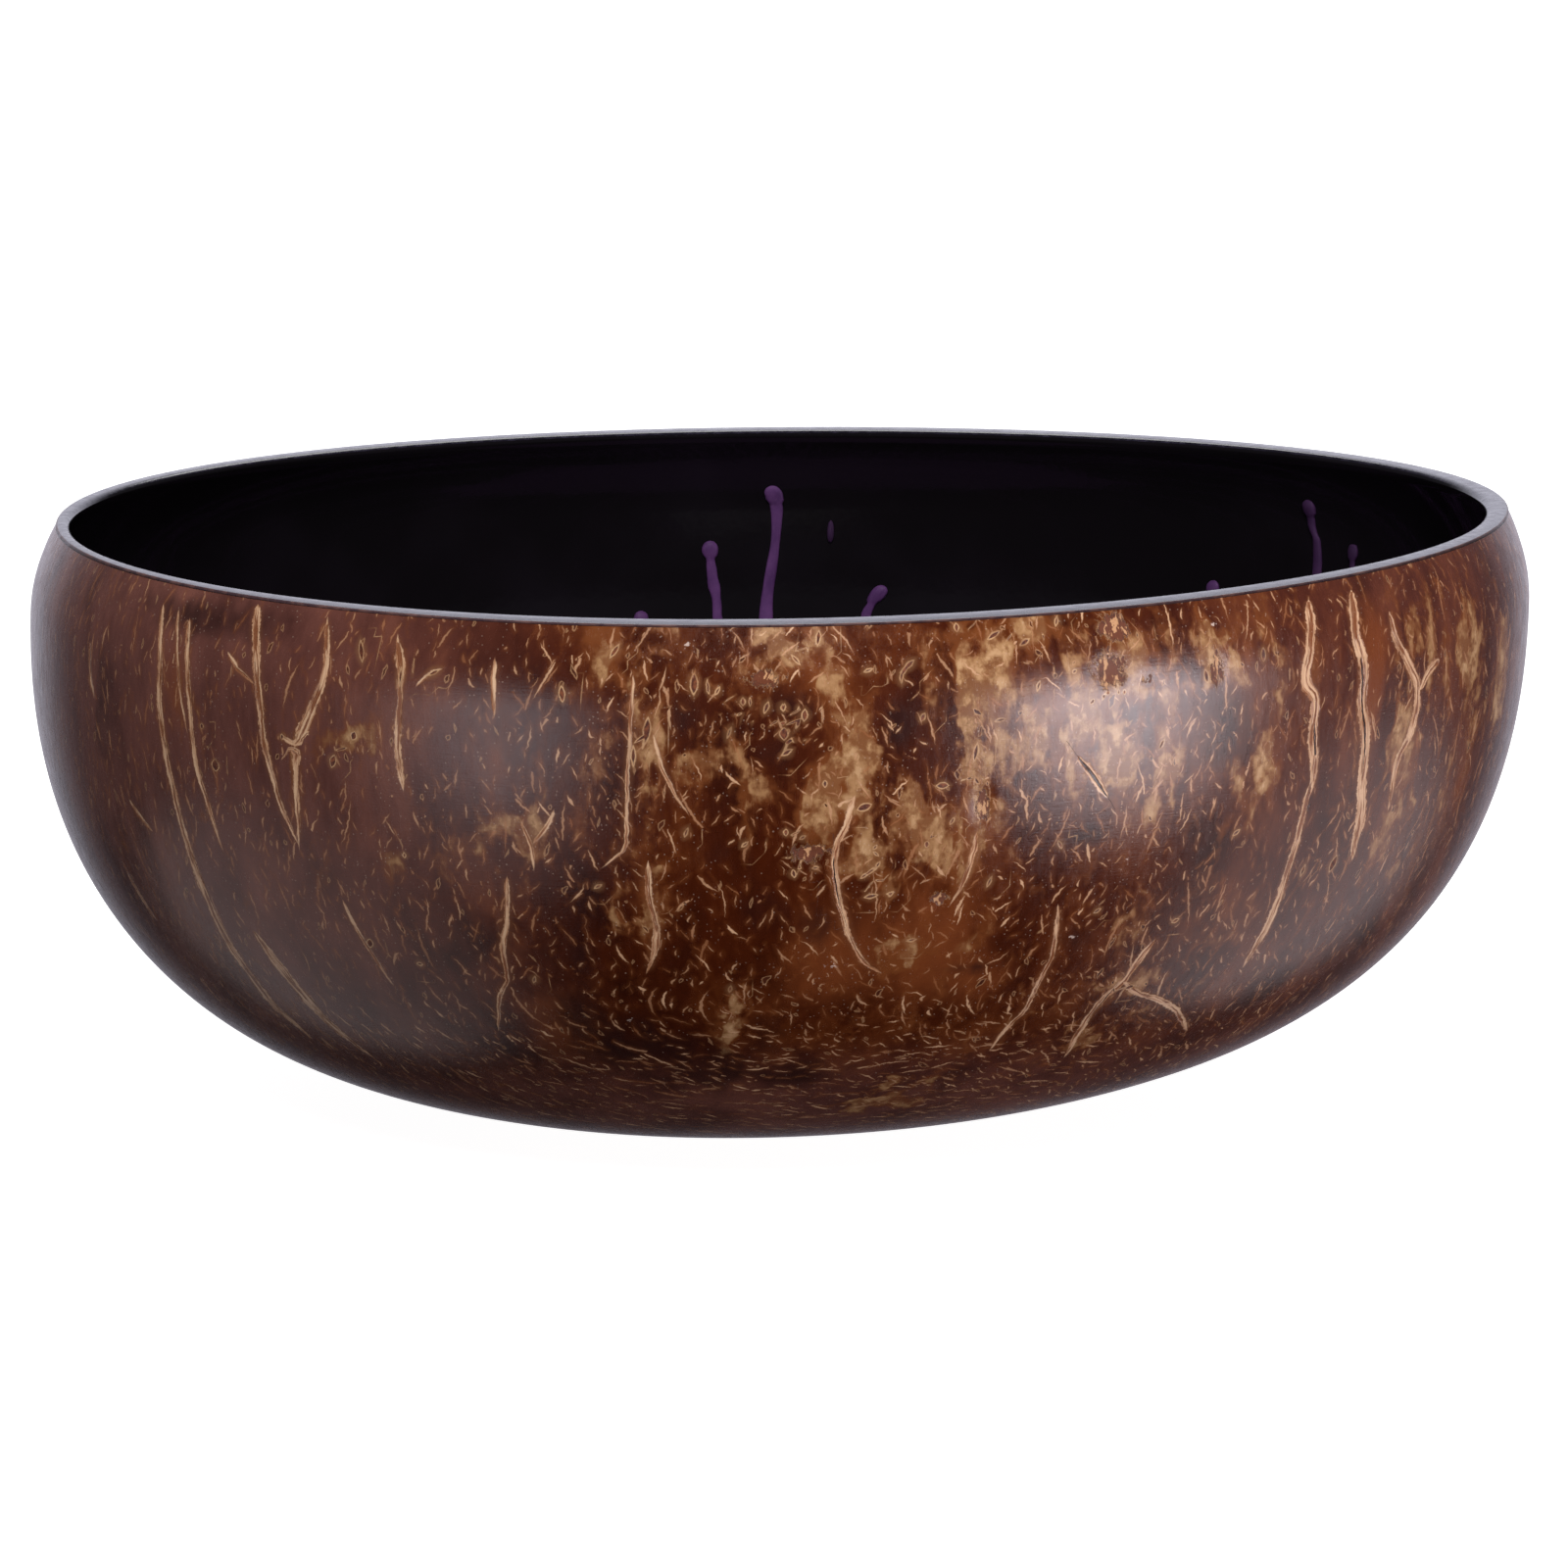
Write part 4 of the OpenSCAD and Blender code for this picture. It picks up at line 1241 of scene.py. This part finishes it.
# A pale room, bright at the sides and behind the bowl and dim in front of it, as round a table with
# white screens. Its backdrop is plain white.
room = Nodes(bpy.data.worlds.new("room"))
bpy.context.scene.world = room.owner
to_back, up = room.split(room.take("ShaderNodeTexCoord", "Generated"))[1:]
brightness = room.range(to_back, 0.78, 0.99, 0.06, 1.05) * room.range(up, -0.45, -0.1, 0.12, 1.0)
lit = room.take("ShaderNodeBackground", 0, (0.87, 0.86, 1.0), brightness)
backdrop = room.take("ShaderNodeBackground", 0, (1, 1, 1), 1.02)
seen = room.take("ShaderNodeLightPath", "Is Camera Ray")
room.add("ShaderNodeOutputWorld", room.take("ShaderNodeMixShader", 0, seen, lit, backdrop))

# The softboxes light the shell and the paint. The lacquer would mirror them inside the bowl.
matt_pieces = bpy.data.collections.new("matt_pieces")
for obj in (shell, runs, droplets, pool):
    matt_pieces.objects.link(obj)


def area_light(name, location, aim, power):
    """A soft light that shines along aim."""
    light = bpy.data.lights.new(name, "AREA")
    light.energy = power
    obj = bpy.data.objects.new(name, light)
    obj.location = location
    obj.rotation_mode = "QUATERNION"
    obj.rotation_quaternion = Vector(aim).to_track_quat("-Z", "Y")
    bpy.context.scene.collection.objects.link(obj)
    return obj


def softbox(name, u, v, distance, width, height, power, tint):
    """An oval light that the shell mirrors at a pixel of the photograph."""
    point, normal = on_shell(u, v)
    ray = ray_to(u, v)
    bounce = ray - 2 * (ray @ normal) * normal
    obj = area_light(name, (point + bounce * distance) * MM, -bounce, power)
    obj.data.shape = "ELLIPSE"
    obj.data.size = width
    obj.data.size_y = height
    obj.data.color = tint
    obj.light_linking.receiver_collection = matt_pieces


# Softboxes: name, pixel that mirrors it, distance in millimetres, width and height in metres, power, tint
softboxes = [
    ("left_softbox", 500, 765, 800, 0.66, 0.90, 0.85, (0.86, 0.91, 1.0)),
    ("left_softbox_middle", 515, 730, 790, 0.40, 0.46, 0.75, (0.84, 0.9, 1.0)),
    ("right_softbox", 1150, 715, 800, 0.68, 0.60, 3.7, (0.97, 0.93, 1.0)),
    ("right_softbox_middle", 1135, 712, 790, 0.46, 0.42, 2.7, (0.97, 0.93, 1.0)),
    ("low_left_softbox", 330, 965, 700, 0.85, 0.65, 0.5, (1.0, 0.94, 0.97)),
    ("low_right_softbox", 1330, 905, 700, 0.65, 0.55, 0.75, (0.97, 0.94, 1.0)),
]
for box in softboxes:
    softbox(*box)

# The key light is a broad diffuser that the gloss doesn't mirror
bowl_middle = Vector((0, 0, 0.03))
key_place, back_place = Vector((0.0, -1.0, 1.15)), Vector((0.1, 1.1, 1.2))
key = area_light("key_softbox", key_place, bowl_middle - key_place, 30)
back = area_light("back_softbox", back_place, bowl_middle - back_place, 8)
key.data.size = back.data.size = 0.9
key.visible_glossy = False

bpy.context.scene.view_settings.view_transform = "Standard"
